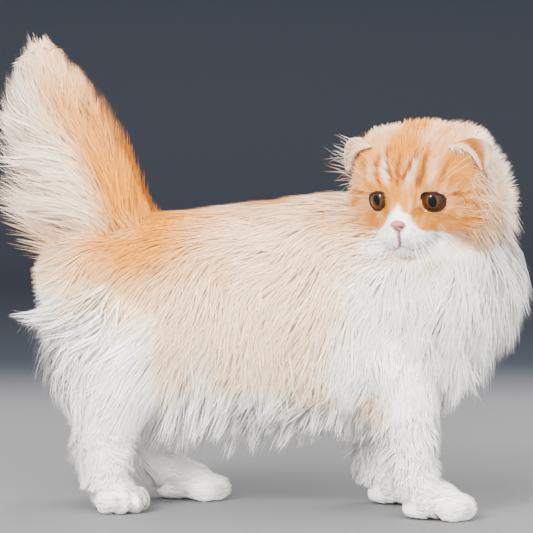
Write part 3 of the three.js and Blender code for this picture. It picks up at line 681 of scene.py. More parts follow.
def body_marks(p):
    """Markings by place on the body: cream over the back and flanks down to a slanting edge on the haunch
    and up the nape, ginger on the rump, the spine's ridge and the front of the tail, white elsewhere."""
    wander = ripple(p, 46, 11)
    x, y, z = p.T
    edge = np.interp(x, [-150, -117, -50, 10, 60], [160, 148, 104, 94, 88]) + 15 * wander
    flank = ease(z, edge - 16, edge + 24)
    shoulder = ease(x + 12 * wander - 0.1 * (z - 150), 98, 48)
    behind_neck = np.maximum(ease(0.3 * (y + 8) - 0.9 * (x - 115), 2, 26), ease(y, 8, 34))
    nape = behind_neck * ease(z + 8 * wander, 166, 204)
    cream = np.maximum(flank * shoulder, nape) * 0.85
    patch = ease(np.hypot(x - 84, z - 84), 20, 6) * ease(y, -20, -40) * 0.6
    rump = ease(np.hypot((x + 88) * 0.72, z - 203) + 7 * wander, 60, 8)
    ridge = ease(z, 204, 226) * (0.75 + 0.4 * wander)
    spot = ease(np.hypot(x + 20, z - 181), 14, 4) * ease(y, 0, -30)
    spine = TAIL.rows[:, :3]
    on_tail = ease(z, 200, 216) * ease(x, -80, -92)
    front = ease(x - np.interp(z, spine[:, 2], spine[:, 0]) + 3 * wander, -22, 8) * on_tail
    ginger = (0.92 * rump + 0.36 * ridge) * shoulder + 0.35 * spot + 0.12 * wander * cream + 0.12 * nape
    tail_ginger = 0.88 * front * mix(1, 0.3, ease(z, 285, 345)) + 0.2 * ease(z, 290, 215)
    ginger = mix(ginger, tail_ginger, on_tail)
    cream = mix(np.maximum(cream, patch), 0.5 + 0.35 * front, on_tail)
    dark = 0.25 * ease(ripple(p * [1, 1, 2.4], 20, 12), 0.3, 1.1) * ginger
    return np.clip(np.stack([ginger, cream, dark], -1), 0, 1)


def marks_and_shade_at(points):
    """Head markings near the head and body markings elsewhere, blended under the ruff, with the painted
    shadow under the chin.
    """
    q = on_head(points)
    near = ease(np.linalg.norm((q - [0, 0, -2]) * [1, 0.95, 1], axis=1), 66, 56)[:, None]
    return with_chin_shadow(points, mix(body_marks(points), head_marks_and_shade(q), near))


def with_chin_shadow(points, marks):
    """The markings, with a painted shadow of the head on the throat under the chin."""
    x, y, z = on_head(points).T
    # Painted shadow of the head: cream and deep ginger on the throat under the chin.
    chin_shadow = ease(np.abs(z + 44), 15, 3) * ease(np.abs(y - 4), 40, 12) * ease(x, -8, 25)
    return np.maximum(marks, chin_shadow[:, None] * [0.0, 0.45, 0.3])


def ruff_marks_and_shade(points):
    """The body's markings, with the painted shadow under the chin."""
    return with_chin_shadow(points, body_marks(points))


# Shaders as sums


class Shade:
    """A socket that takes part in sums: an operator on it adds a Math node."""

    def __init__(self, finish, socket):
        self.finish = finish
        self.socket = socket

    def math(self, operation, *values):
        """A Math node of that operation on the values."""
        return self.finish.node("ShaderNodeMath", {"operation": operation}, dict(enumerate(values)))

    def __add__(self, other):
        return self.math("ADD", self, other)

    def __sub__(self, other):
        return self.math("SUBTRACT", self, other)

    def __rsub__(self, other):
        return self.math("SUBTRACT", other, self)

    def __mul__(self, other):
        return self.math("MULTIPLY", self, other)

    def __pow__(self, other):
        return self.math("POWER", self, other)

    __radd__ = __add__
    __rmul__ = __mul__

    def eased(self, low, high):
        """0 at low and 1 at high, smooth between."""
        settings = {"interpolation_type": "SMOOTHSTEP"}
        ends = {"Value": self, "From Min": low, "From Max": high}
        return self.finish.node("ShaderNodeMapRange", settings, ends)


class Finish:
    """A material whose nodes are added one by one."""

    def __init__(self, name):
        self.material = bpy.data.materials.new(name)
        self.material.use_nodes = True
        self.tree = self.material.node_tree
        self.tree.nodes.clear()

    def node(self, kind, settings=None, inputs=None, out=0):
        """A node of that type: its settings first, then its inputs as values or links. Gives an output."""
        made = self.tree.nodes.new(kind)
        for key, value in (settings or {}).items():
            setattr(made, key, value)
        for key, value in (inputs or {}).items():
            if isinstance(value, Shade):
                self.tree.links.new(value.socket, made.inputs[key])
            else:
                made.inputs[key].default_value = value
        return Shade(self, made.outputs[out] if made.outputs else None)

    def split(self, kind, value):
        """The outputs of a node that takes a colour or a place apart."""
        first = self.node(kind, {}, {0: value})
        return [Shade(self, output) for output in first.socket.node.outputs]

    def place(self):
        """The place on the object, in metres."""
        return self.node("ShaderNodeTexCoord", out=3)

    def mixed(self, share, a, b):
        """A colour between a and b."""
        settings = {"data_type": "RGBA"}
        colours = {0: share}
        for key, value in ((6, a), (7, b)):
            colours[key] = value if isinstance(value, Shade) else (*value, 1)
        return self.node("ShaderNodeMix", settings, colours, 2)

    def lit(self, colour, value):
        """The colour with its brightness multiplied."""
        return self.node("ShaderNodeHueSaturation", {}, {"Color": colour, "Value": value})

    def noise(self, scale, detail=3, rough=0.5, at=None):
        """A noise on Object coordinates, or on the place given."""
        inputs = {"Vector": at or self.place(), "Scale": scale, "Detail": detail, "Roughness": rough}
        return self.node("ShaderNodeTexNoise", {}, inputs)

    def attribute(self, name):
        """The red, green and blue of a colour attribute."""
        colour = self.node("ShaderNodeAttribute", {"attribute_name": name})
        return self.split("ShaderNodeSeparateColor", colour)

    def bump(self, height, distance, strength):
        """A Bump node for the Normal socket. The distance is in metres."""
        inputs = {"Height": height, "Distance": distance, "Strength": strength}
        return self.node("ShaderNodeBump", {}, inputs)

    def surface(self, **sockets):
        """Ends the material in a Principled shader with those sockets."""
        named = {key.replace("_", " "): value for key, value in sockets.items()}
        shader = self.node("ShaderNodeBsdfPrincipled", {}, named)
        self.node("ShaderNodeOutputMaterial", {}, {"Surface": shader})
        return self.material


WHITE = (0.91, 0.895, 0.85)
CREAM = (0.83, 0.57, 0.325)
GINGER = (0.62, 0.228, 0.012)
DEEP_GINGER = (0.30, 0.085, 0.010)


def coat_colour(finish):
    """White, cream, ginger and deep ginger by the piece's markings, whose cream and deep ginger also carry
    painted shade under the chin, in the slits under the ears and between the toes.
    """
    ginger, cream, dark = finish.attribute("marks")
    colour = finish.mixed(cream, WHITE, CREAM)
    colour = finish.mixed(ginger, colour, GINGER)
    return finish.mixed(dark, colour, DEEP_GINGER)


def hair_material():
    """Soft hair: each tuft a little lighter or darker, with painted shade deeper at its root, and fine
    strands along it.
    """
    finish = Finish("soft_hair")
    draw, out, across = finish.attribute("strand")
    phase = across * 23 + draw * 60
    strands = phase.math("SINE", phase)
    # out, from root to tip, lightens each tuft: painted shade deep in the coat at its root.
    value = 0.90 + 0.08 * draw + 0.06 * out + 0.025 * strands
    colour = finish.lit(coat_colour(finish), value)
    grain = finish.noise(900, 2)
    return finish.surface(
        Base_Color=colour,
        Roughness=0.58 + 0.2 * grain,
        Normal=finish.bump(strands * 0.5 + grain, 0.0002, 0.4),
        Specular_IOR_Level=0.15,
    )


def skin_material():
    """Skin under hair: the coat's own markings, deeper, with a nap of short hair, and painted shade in the
    mouth's groove from the depth attribute.
    """
    finish = Finish("haired_skin")
    nap = finish.noise(700, 4, 0.6)
    blotch = finish.noise(60, 2)
    # dim: the depth attribute, painted shade that darkens the mouth's groove.
    dim = finish.attribute("depth")[0]
    colour = finish.lit(coat_colour(finish), (0.86 + 0.16 * nap + 0.06 * blotch) * dim)
    return finish.surface(
        Base_Color=colour,
        Roughness=0.85,
        Normal=finish.bump(nap, 0.0012, 0.8),
        Specular_IOR_Level=0.15,
    )


# Tufts: closed three-sided blades that taper to a point


def on_patch(spread, patch=WHOLE):
    """Places in a rectangle of the unwrap for pairs between 0 and 1."""
    return patch[:2] + spread * (np.array(patch[2:]) - patch[:2])


def blade_faces(rings):
    """A blade's triangles, over rings of three points and a tip, and which of them face down: a lid on
    the first ring, two on each side between rings, and three round the tip."""
    faces = [[0, 2, 1]]
    down = [True]
    for first in range(0, 3 * rings - 3, 3):
        for i, j in ((0, 1), (1, 2), (2, 0)):
            a, b, c, d = first + i, first + j, first + 3 + j, first + 3 + i
            faces += [[a, b, c], [a, c, d]]
            down += [i == 2] * 2
    first, tip = 3 * rings - 3, 3 * rings
    faces += [[first, first + 1, tip], [first + 1, first + 2, tip], [first + 2, first, tip]]
    down += [False, False, True]
    return np.array(faces)[:, ::-1], np.array(down)


def tuft_bundle(path, facing, width, ridge, marks, corner, soft):
    """Blades along paths of shape (count, rings + 1, 3): each ring is a flat triangle across the path,
    its peak towards the facing, and the last point is the tip. Normals lean from the blade's own to the
    facing by soft, and straight down under it. marks and corner are each blade's markings and its place
    on the unwrap."""
    count, rings = len(path), path.shape[1] - 1
    run = unit(path[:, -1] - path[:, 0])[:, None]
    steps = np.concatenate([path[:, 1:2] - path[:, :1], path[:, 2:] - path[:, :-2]], 1)
    along = unit(unit(steps) + 0.6 * run)
    across = unit(np.cross(facing[:, None], along))
    out = np.cross(along, across)
    place = np.linspace(0, 1, rings + 1)[:-1]
    swell = np.interp(place, [0, 0.4, 1], [0.75, 1, 0.3])
    half = width[:, None, None] / 2 * swell[None, :, None]
    high = ridge[:, None, None] * swell[None, :, None]
    body = path[:, :-1]
    left = body - across * half - out * high * 0.3
    peak = body + out * high * 0.7
    right = body + across * half - out * high * 0.3
    ringed = np.stack([left, peak, right], 2).reshape(count, rings * 3, 3)
    points = np.concatenate([ringed, path[:, -1:]], 1)

    side_normal = unit(across * 0.8 + out * 0.6)
    other_normal = unit(-across * 0.8 + out * 0.6)
    own = np.stack([other_normal, out, side_normal], 2).reshape(count, rings * 3, 3)
    own = np.concatenate([own, out[:, -1:]], 1)
    normals = unit(mix(own, facing[:, None], soft))
    below = np.concatenate([np.repeat(-out, 3, axis=1), -out[:, -1:]], 1)

    draw = RNG.random(count)
    ones = np.ones((count, 1))
    out_places = np.concatenate([np.repeat(place, 3)[None] * ones, ones], 1)
    across_places = np.concatenate([np.tile([0, 0.5, 1], rings)[None] * ones, 0.5 * ones], 1)
    strand = np.stack([draw[:, None] * np.ones_like(out_places), out_places, across_places], -1)
    patch_places = corner[:, None] + np.stack([across_places - 0.5, out_places - 0.5], -1) * PATCH_SIZE

    faces, down = blade_faces(rings)
    corner_normals = np.where(down[None, :, None, None], below[:, faces], normals[:, faces])
    offsets = np.arange(count)[:, None, None] * (rings * 3 + 1)
    return {
        "points": points.reshape(-1, 3),
        "normals": corner_normals.reshape(-1, 3),
        "strand": strand.reshape(-1, 3),
        "marks": np.repeat(marks[:, None], rings * 3 + 1, 1).reshape(-1, 3),
        "places": patch_places.reshape(-1, 2),
        "faces": (faces[None] + offsets).reshape(-1, 3),
    }


def coat_piece(name, bundles):
    """One piece of the coat from bundles of tufts, with its markings, strands and patches on OFBake."""

    def joined(key):
        """That value of all the bundles."""
        return np.concatenate([bundle[key] for bundle in bundles])

    points, faces = joined_solids([(bundle["points"], bundle["faces"]) for bundle in bundles])
    mesh = mesh_of(name, points, faces)
    paint_points(mesh, "marks", joined("marks"))
    paint_points(mesh, "strand", joined("strand"))
    unwrap(mesh, "OFBake", joined("places"), faces)
    mesh.normals_split_custom_set(joined("normals").astype(np.float32))
    piece(name, mesh, HAIR)


# How a tuft lies where its own lie says nothing else: see coat_over.
USUAL_LIE = {"round": 0, "drop": 0, "lift": 0.8, "pull": 0.35, "stray": 0.1, "uneven": 0.12, "ragged": 0.3}


def coat_over(form, count, runs, turns, lie, marks, patch, seed, clump, rings, keep=None, soft=0.75):
    """Tufts over a form, rooted by millimetres along it and degrees round it, and gathered in clumps. At
    t from 0 at the root to 1 at the tip, a tuft has gone (along, round) t over the form, whose radius is
    given, and pull t^1.5 of the way to its clump's centre. It stands at the share of the coat's depth
    from + (to - from) t^lift, and sinks by drop t^2. stray turns it aside, uneven differs the clumps'
    height and ragged the tufts', and width is its own. The function lie gives these for each root.
    Lengths are in millimetres."""
    spread = scattered(count)
    run = mix(runs[0], runs[1], spread[:, 0])
    degrees = mix(turns[0], turns[1], spread[:, 1])
    if keep is not None:
        kept = keep(run, degrees)
        run, degrees, spread = run[kept], degrees[kept], spread[kept]
    lay = {**USUAL_LIE, **lie(run, degrees)}
    radius = lay["radius"]
    turn = np.radians(degrees)
    plane = np.stack([run, turn * radius], -1)
    centre, cell = gathered(plane, clump, seed)
    wander = 0.3 * ripple(plane, 60, seed) + 4 * lay["stray"] * (drawn(cell, seed + 2) - 0.5)
    wander = wander + lay["stray"] * RNG.normal(size=len(run))
    size = (0.74 + 0.42 * drawn(cell, seed + 3)) * RNG.uniform(0.65, 1.1, len(run))
    straight, sideways = lay["along"] * size, lay["round"] * size
    along = straight * np.cos(wander) - sideways * np.sin(wander)
    around = straight * np.sin(wander) + sideways * np.cos(wander)
    pull_along, pull_around = lay["pull"] * (centre - plane).T
    ragged = mix(1 - lay["ragged"], 1.1, RNG.random(len(run)) ** 0.5)
    top = lay["to"] * (1.04 + lay["uneven"] * (drawn(cell, seed + 4) - 0.5)) * ragged
    path = []
    for t in np.linspace(0, 1, rings + 1):
        here_run = run + along * t + pull_along * t**1.5
        here_turn = turn + (around * t + pull_around * t**1.5) / radius
        point = form.at(here_run, here_turn, mix(lay["from"], top, t ** lay["lift"]))
        path.append(point - [0, 0, 1] * (lay["drop"] * size * t * t)[:, None])
    path = np.stack(path, 1)
    facing = unit(form.at(run, turn, np.ones(len(run))) - form.at(run, turn, np.zeros(len(run))))
    facing[:, 2] = np.maximum(facing[:, 2], -0.2)
    facing = unit(facing)
    width = lay["width"] * RNG.uniform(0.7, 1.25, len(run))
    middle = path[:, (rings + 1) // 2]
    return tuft_bundle(path, facing, width, width * 0.1, marks(middle), on_patch(spread, patch), soft)


# Skin


def spine_surface(form, share, rings=40, around=40):
    """A spine form as a closed mesh."""
    return closed_mesh(*form.grid(share, rings, around))


def smooth_union(name, points, faces, voxel, smoothings):
    """One skin round overlapping solids: remade on cubes of that size in metres, then smoothed."""
    source = shown(name + "_source", mesh_of(name + "_source", points, faces))
    remake = source.modifiers.new("remake", "REMESH")
    remake.mode = "VOXEL"
    remake.voxel_size = voxel
    soften = source.modifiers.new("soften", "SMOOTH")
    soften.factor = 0.5
    soften.iterations = smoothings
    ready = source.evaluated_get(bpy.context.evaluated_depsgraph_get())
    made = bpy.data.meshes.new_from_object(ready)
    bpy.data.objects.remove(source)
    count = len(made.vertices)
    places = np.empty(count * 3, np.float32)
    made.vertices.foreach_get("co", places)
    made.calc_loop_triangles()
    corners = np.empty(len(made.loop_triangles) * 3, np.int32)
    made.loop_triangles.foreach_get("vertices", corners)
    bpy.data.meshes.remove(made)
    return places.reshape(-1, 3) / MM - SHIFT, corners.reshape(-1, 3)


def lid_measure(y, z, side):
    """1 on the edge of an eye's opening, less inside: the p-norm of y and z over the opening's half width
    and height, with p = 2.8 above, where the lid is flat, and 2 below."""
    level = z + y * side * LID_SLOPE
    power = np.where(level > 0, 2.8, 2.0)
    high = np.where(level > 0, LID_HIGH, LID_LOW)
    return (np.abs(y / LID_HALF_WIDE) ** power + np.abs(level / high) ** power) ** (1 / power)


def with_lids(points):
    """Moves the skin round each eye: inside the opening it sinks behind the ball, and round it lies on
    the ball as a lid 1 mm thick that runs out into the face."""
    q = on_head(points)
    for side in (-1, 1):
        axes = eye_axes(side)
        x, y, z = ((q - sided(EYE_AT, side)) @ axes).T
        measure = lid_measure(y, z, side)
        near = (x > 0) & (np.hypot(y, z) < 17)
        ball = np.sqrt(np.maximum(EYE_RADIUS**2 - y**2 - z**2, 0))
        lid = np.maximum(x, ball + 0.9)
        lid = mix(ball + 0.7, lid, ease(measure, 1.0, 1.35))
        sunk = ball - 2.5
        moved = np.where(measure < 0.97, sunk, np.where(measure < 1.8, lid, x))
        x = np.where(near & (measure < 1.8), moved, x)
        q = np.stack([x, y, z], -1) @ axes.T + sided(EYE_AT, side)
    return on_body(q)


def mouth_lines():
    """The mouth as three runs of points on the head: down from the nose, then out under each whisker
    pad."""
    routes = [[[50, 0, -10], [48, 0, -14], MOUTH_MIDDLE, [44, 0, -20.3]]]
    for side in (-1, 1):
        routes.append([MOUTH_MIDDLE, [43, 4.5 * side, -22], [38, 10 * side, -23.5], [30, 16 * side, -23]])
    steps = np.linspace(0, 1, 30)
    runs = [between(np.array(route, float), steps) for route in routes]
    return [HEAD.surface(run, np.full(len(run), 0.3)) for run in runs]


def make_lips():
    """The lips' bare edge: round cords carried along the mouth's lines for t from 0 to 1, of radius
    0.85 sqrt(1 - (2t - 1)^6) (1 - 0.4 t)."""
    solids = []
    turn = circle(8)
    for line in mouth_lines():
        steps = np.linspace(0, 1, len(line))
        out = unit(line - HEAD.heart)
        across = unit(np.cross(out, unit(np.gradient(line, axis=0))))
        radius = 0.85 * np.sqrt(np.clip(1 - (2 * steps - 1) ** 6, 0.02, 1)) * mix(1, 0.6, steps)
        ring = across[:, None] * np.cos(turn)[None, :, None] + out[:, None] * np.sin(turn)[None, :, None]
        line = line + out * 0.35
        solids.append(closed_mesh(line[:, None] + ring * radius[:, None, None], line[[0, -1]]))
    points, faces = joined_solids(solids)
    finish = Finish("lip_skin")
    grain = finish.noise(900, 3)
    material = finish.surface(
        Base_Color=finish.mixed(grain.eased(0.3, 0.7), (0.20, 0.085, 0.08), (0.33, 0.15, 0.14)),
        Roughness=0.5 + 0.2 * grain,
        Normal=finish.bump(grain, 0.0002, 0.5),
    )
    piece("lips", mesh_of("lips", on_body(points), faces), material)


def mouth_distance(q):
    """How far each head place is from the nearest point of the mouth's lines."""
    lines = np.concatenate(mouth_lines())
    return np.sqrt(((q[:, None] - lines[None]) ** 2).sum(-1)).min(1)


def make_skin():
    """One closed skin over head, neck, trunk, tail, legs and paws, with lids and the groove of the
    mouth, darkened by painted shade in the groove."""
    solids = [
        spine_surface(TRUNK, SKIN_UNDER_LONG),
        spine_surface(NECK, SKIN_UNDER_LONG, 24),
        spine_surface(TAIL, SKIN_UNDER_LONG, 40, 24),
    ]
    points, faces = closed_mesh(*HEAD.grid(SKIN_UNDER_SHORT, 80, 80))
    solids.append((on_body(points), faces))
    for _, _, form, _, at, heading, long in LEGS:
        solids.append(spine_surface(form, SKIN_UNDER_SHORT, 40, 32))
        points, faces = closed_mesh(*paw_form(long).grid(SKIN_UNDER_SHORT, 30, 36))
        solids.append((paw_on_body(points, at, heading), faces))
    points, faces = smooth_union("skin", *joined_solids(solids), SKIN_VOXEL, 8)
    points[:, 2] = np.maximum(points[:, 2], SOLE_HEIGHT)
    points = with_lids(points)
    q = on_head(points)
    face = np.flatnonzero((q[:, 0] > 20) & (np.abs(q[:, 1]) < 25) & (q[:, 2] < 0) & (q[:, 2] > -40))
    groove = ease(mouth_distance(q[face]), 2.6, 0)
    inward = unit(HEAD.heart - q[face])
    points[face] = on_body(q[face] + inward * (1.6 * groove)[:, None])
    # depth: 1, less in the mouth's groove, as painted shade.
    depth = np.ones((len(points), 3))
    depth[face] -= (0.65 * groove)[:, None]
    mesh = mesh_of("skin", points, faces)
    paint_points(mesh, "marks", marks_and_shade_at(points))
    paint_points(mesh, "depth", depth)
    flesh = [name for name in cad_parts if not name.startswith(("eye", "nose"))]
    skin = piece("skin", mesh, skin_material())
    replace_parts(skin, *flesh)


# The coat of the body


def half_patch(index):
    """The left or the right half of the unwrap, with a gap between."""
    left, bottom, right, top = WHOLE
    wide = (right - left) / 2
    return (left + index * wide, bottom, left + (index + 1) * wide - 0.01, top)


def trunk_lie(run, degrees):
    """To the rear over the back, down and back over the flanks, and hanging under the belly."""
    side, over = np.sign(degrees), np.abs(degrees)
    low, under = ease(over, 15, 85), ease(over, 92, 140)
    return {
        "along": -mix(mix(44, 20, low), 9, under),
        "round": side * mix(low * 44, 8, under),
        "radius": 66,
        "from": 0.58,
        "to": mix(1.0, 0.95, under),
        "width": 0.7,
        "drop": mix(2, np.interp(run, [60, 111, 140, 180, 205], [11, 4, 1, 1, 4]), under),
        "lift": 0.85,
        "pull": mix(0.2, 0.7, under),
        "stray": mix(0.12, 0.17, low),
        "uneven": mix(0.12, 0.4, under),
        "ragged": mix(0.12, 0.3, under),
    }


def ruff_lie(run, degrees):
    """Down and out from the head over the chest and shoulders."""
    throat = ease(np.abs(degrees), 40, 130)
    return {
        "along": -mix(28, 33, throat),
        "radius": 60,
        "from": 0.55,
        "to": mix(0.95, 0.86, throat),
        "width": 0.75,
        "drop": mix(3, 9, throat),
        "lift": 0.55,
        "pull": 0.5,
        "ragged": 0.18,
        "stray": 0.2,
        "uneven": 0.35,
    }


def under_head(run, degrees):
    """True where the neck's coat is outside the head, and below the cheeks on the side that they hang
    over."""
    root = NECK.at(run, np.radians(degrees), np.full(len(run), 0.6))
    q = on_head(root)
    return (HEAD.outside(q, np.full(len(run), 0.85)) > 0) & ((q[:, 2] < -40) | (q[:, 0] < -12))


def plume_lie(run, degrees):
    """Towards the tail's tip and out to the rear."""
    under = ease(np.abs(degrees), 40, 150)
    further = drawn(np.stack([np.floor(run * 9), np.floor(degrees * 2)], -1), 9)
    along = np.minimum(mix(30, 52, under), TAIL.length - 8 + 19 * further - run)
    near_tip = ease(run + along, TAIL.length - 30, TAIL.length + 9)
    return {
        "along": along,
        "radius": 22,
        "from": 0.4,
        "to": mix(1.22, 1.05, under) * mix(1, mix(0.85, 0.3, further), near_tip),
        "width": mix(0.7, 0.8, under),
        "pull": 0.5,
        "stray": 0.12,
        "uneven": 0.3,
    }


def arm_lie(side, run, degrees):
    """Down the upper arm, longer behind the elbow."""
    behind = ease(np.abs(degrees), 70, 150)
    return {
        "along": mix(20, 34, behind),
        "round": side * mix(3, 6, behind),
        "radius": 26,
        "from": 0.35,
        "to": mix(0.95, 1.1, behind),
        "width": 0.9,
        "drop": 3 * behind,
        "ragged": 0.2,
    }


def thigh_lie(run, degrees):
    """Down and back over the thigh, and out behind it."""
    behind = ease(np.abs(degrees), 80, 160)
    outer = np.sign(degrees) * ease(np.abs(degrees), 5, 60)
    return {
        "along": mix(38, 33, behind),
        "round": outer * 18 * (1 - behind),
        "radius": 42,
        "from": 0.35,
        "to": mix(0.95, 1.1, behind) * mix(0.8, 1, ease(run, 5, 40)),
        "width": 0.8,
        "drop": mix(4, 6, behind),
        "pull": mix(0.3, 0.75, behind),
        "stray": mix(0.14, 0.2, behind),
        "uneven": mix(0.15, 0.5, behind),
        "ragged": mix(0.18, 0.3, behind),
    }


def shin_lie(run, degrees):
    """Short hair down the lower leg."""
    behind = ease(np.abs(degrees), 90, 160)
    return {
        "along": 14 + 5 * behind,
        "radius": 16,
        "from": 0.2,
        "to": 1.3 + 0.3 * behind,
        "width": 0.85,
        "pull": 0.75,
        "stray": 0.18,
        "uneven": 0.5,
    }


def undercoat(lie, run, degrees):
    """The same lie for broad flat tufts, a little shorter, that close the coat under the fine ones."""
    lay = lie(run, degrees)
    along, to, width = lay["along"] * 0.9, lay["to"] * 0.93, lay["width"] * 2.6
    return {**lay, "along": along, "from": 0.45, "to": to, "width": width}


def two_layers(form, counts, runs, turns, lie, marks, patch, seed, clump=11, keep=None):
    """So many broad flat tufts below, and so many fine ones over them."""
    broad, fine = counts
    lower = partial(undercoat, lie)
    return [
        coat_over(form, broad, runs, turns, lower, marks, patch, seed, clump, 3, keep, 0.92),
        coat_over(form, fine, runs, turns, lie, marks, patch, seed, clump, 2, keep, 0.86),
    ]


def body_coat():
    """The coat of the trunk, ruff, tail and legs. Each piece is a stretch of its form, in millimetres
    along it and degrees round it, and each leg's is a long-haired stretch and a short-haired one."""
    all_round = (-180, 180)
    for i in range(4):
        turns = (90 * i - 180, 90 * i - 90)
        layers = two_layers(TRUNK, (2000, 6400), (-54, 300), turns, trunk_lie, marks_and_shade_at, WHOLE, 20 + i)
        coat_piece(f"coat_trunk_{i + 1}", layers)
    for i in range(2):
        turns = (180 * i - 180, 180 * i)
        how = (turns, ruff_lie, ruff_marks_and_shade, WHOLE, 30 + i, 10, under_head)
        coat_piece(f"coat_ruff_{i + 1}", two_layers(NECK, (2200, 7500), (0, 88), *how))
    layers = two_layers(TAIL, (2400, 10500), (0, 182), all_round, plume_lie, marks_and_shade_at, WHOLE, 40, 9)
    coat_piece("coat_tail", layers)
    for i, (name, side, form, short_from, *_) in enumerate(LEGS):
        lie, counts, start = thigh_lie, (1400, 4600), 2
        if name.startswith("fore"):
            lie, counts, start = partial(arm_lie, side), (900, 2900), -4
        how = (all_round, lie, marks_and_shade_at, half_patch(0), 50 + i)
        long_part = two_layers(form, counts, (start, short_from + 6), *how)
        how = (all_round, shin_lie, marks_and_shade_at, half_patch(1), 60 + i, 6, 2)
        short_part = coat_over(form, 2700, (short_from - 10, form.length - 2), *how)
        coat_piece(f"coat_leg_{name}", [*long_part, short_part])


def paw_coat():
    """Short tufts over each paw that lie towards the toes along its meridians, with painted shade in the
    gaps between the toes, and none on the sole."""
    for i, (name, _, _, _, at, heading, long) in enumerate(LEGS):
        form = paw_form(long)
        spread = scattered(2700)
        back = np.arccos(1 - 2 * (0.02 + 0.9 * spread[:, 0]))
        turn = 2 * np.pi * spread[:, 1]
        length = mix(4.2, 9, ease(back, 0.4, 1.4)) * RNG.uniform(0.7, 1.2, len(back))
        _, cell = gathered(np.stack([back * 22, turn * 16], -1), 4, 70 + i)
        bend = 0.9 * (drawn(cell, 3) - 0.5)
        stand = 1.25 + 0.5 * drawn(cell, 4)
        root = form.polar(back, turn, np.full(len(back), 0.2))
        reach = np.linalg.norm(root - form.heart, axis=1)
        path = []
        for t in (0, 0.5, 1):
            run = length * t / reach
            back_here = back - run * np.cos(bend)
            turn_here = turn + run * np.sin(bend) / np.maximum(np.sin(back), 0.25)
            path.append(form.polar(back_here, turn_here, mix(0.1, stand, t)))
        path = np.stack(path, 1)
        kept = (root[:, 2] > 1.5) & (path[:, -1, 2] > 0.8)
        facing = unit(root - form.heart) @ turned(0, 0, heading).T
        path = paw_on_body(path, at, heading)[kept]
        width = 0.85 * RNG.uniform(0.8, 1.2, kept.sum())
        x, y = root[kept, 0], np.abs(root[kept, 1])
        gap = np.minimum(y, np.abs(y - 10.8 + 0.12 * np.maximum(17 - x, 0)))
        marks = marks_and_shade_at(path[:, 0])
        # Painted shade: deep ginger in the gaps between the toes.
        marks[:, 2] += 0.5 * ease(gap, 1.5, 0.5) * ease(x, 9, 15)
        bundle = tuft_bundle(path, facing[kept], width, width * 0.3, marks, on_patch(spread[kept]), 0.6)
        coat_piece(f"coat_paw_{name}", [bundle])


# The coat of the head


def mane_tufts(count, seed):
    """Long tufts from behind the cheeks and jaw. At t from 0 to 1 a tuft is at root + length (way t +
    0.42 out t (1 - t) - 0.2 up t^2): it leaves the head outwards, and bends back and down."""
    spread = scattered(count)
    back = mix(1.05, 2.85, spread[:, 0])
    turn = mix(0.95, 2 * np.pi - 0.95, spread[:, 1])
    root = HEAD.polar(back, turn, np.full(count, 0.2))
    out = unit(root - HEAD.heart)
    _, cell = gathered(np.stack([back * 50, turn * 50], -1), 9, seed)
    length = (18 + 12 * drawn(cell, seed)) * RNG.uniform(0.7, 1.1, count)
    length = length * mix(0.42, 1, ease(root[:, 2], 28, -8)) * mix(0.55, 1, ease(back, 1.05, 1.45))
    loose = RNG.normal(0, 0.1, (count, 3)) + 0.35 * (drawn(cell, 5)[:, None] - 0.5)
    way = unit(out * 0.62 + [-0.3, 0, -0.85] + loose)
    path = []
    for t in (0, 0.5, 1):
        bent = way * t + out * 0.42 * t * (1 - t) + np.array([0, 0, -0.2]) * t * t
        path.append(root + bent * length[:, None])
    path = on_body(np.stack(path, 1))
    width = 0.82 * RNG.uniform(0.7, 1.2, count)
    facing = out @ HEAD_AXES.T
    return tuft_bundle(path, facing, width, width * 0.2, marks_and_shade_at(path[:, 0]), on_patch(spread), 0.55)


def face_length(q):
    """Millimetres of hair by place: 2.4 on the muzzle, 6 on the brow, 8.5 behind, 13 on the cheeks, and
    half as much round the eyes."""
    side = np.abs(q[:, 1])
    long = mix(2.4, 6.0, ease(q[:, 0], 50, 30))
    long = mix(long, 8.5, ease(q[:, 0], 20, -10))
    long = mix(long, 13, ease(side, 34, 48) * ease(q[:, 2], 16, -6))
    eye = np.hypot(side - 22, q[:, 2] - 1)
    return long * mix(0.5, 1, ease(eye, 10, 18))


def clear_of_eyes(path):
    """True for the tufts whose points all keep out of both eyes' openings, in the head frame."""
    clear = np.ones(len(path), bool)
    for side in (-1, 1):
        local = (path - sided(EYE_AT, side)) @ eye_axes(side)
        x, y, z = local[..., 0], local[..., 1], local[..., 2]
        clear &= ~((x > 0) & (lid_measure(y, z, side) < 1.06)).any(-1)
    return clear


def clear_of_nose_and_mouth(path):
    """True for the tufts whose points all keep off the nose leather and the mouth's lines, in the head
    frame."""
    off_nose = np.linalg.norm((path - NOSE_AT) * [1, 0.8, 1], axis=-1).min(1) > 6.2
    off_mouth = np.ones(len(path), bool)
    near = np.linalg.norm(path[:, -1] - [44, 0, -22], axis=1) < 32
    away = mouth_distance(path[near].reshape(-1, 3)).reshape(-1, path.shape[1])
    off_mouth[near] = away.min(1) > 1.5
    return off_nose & off_mouth


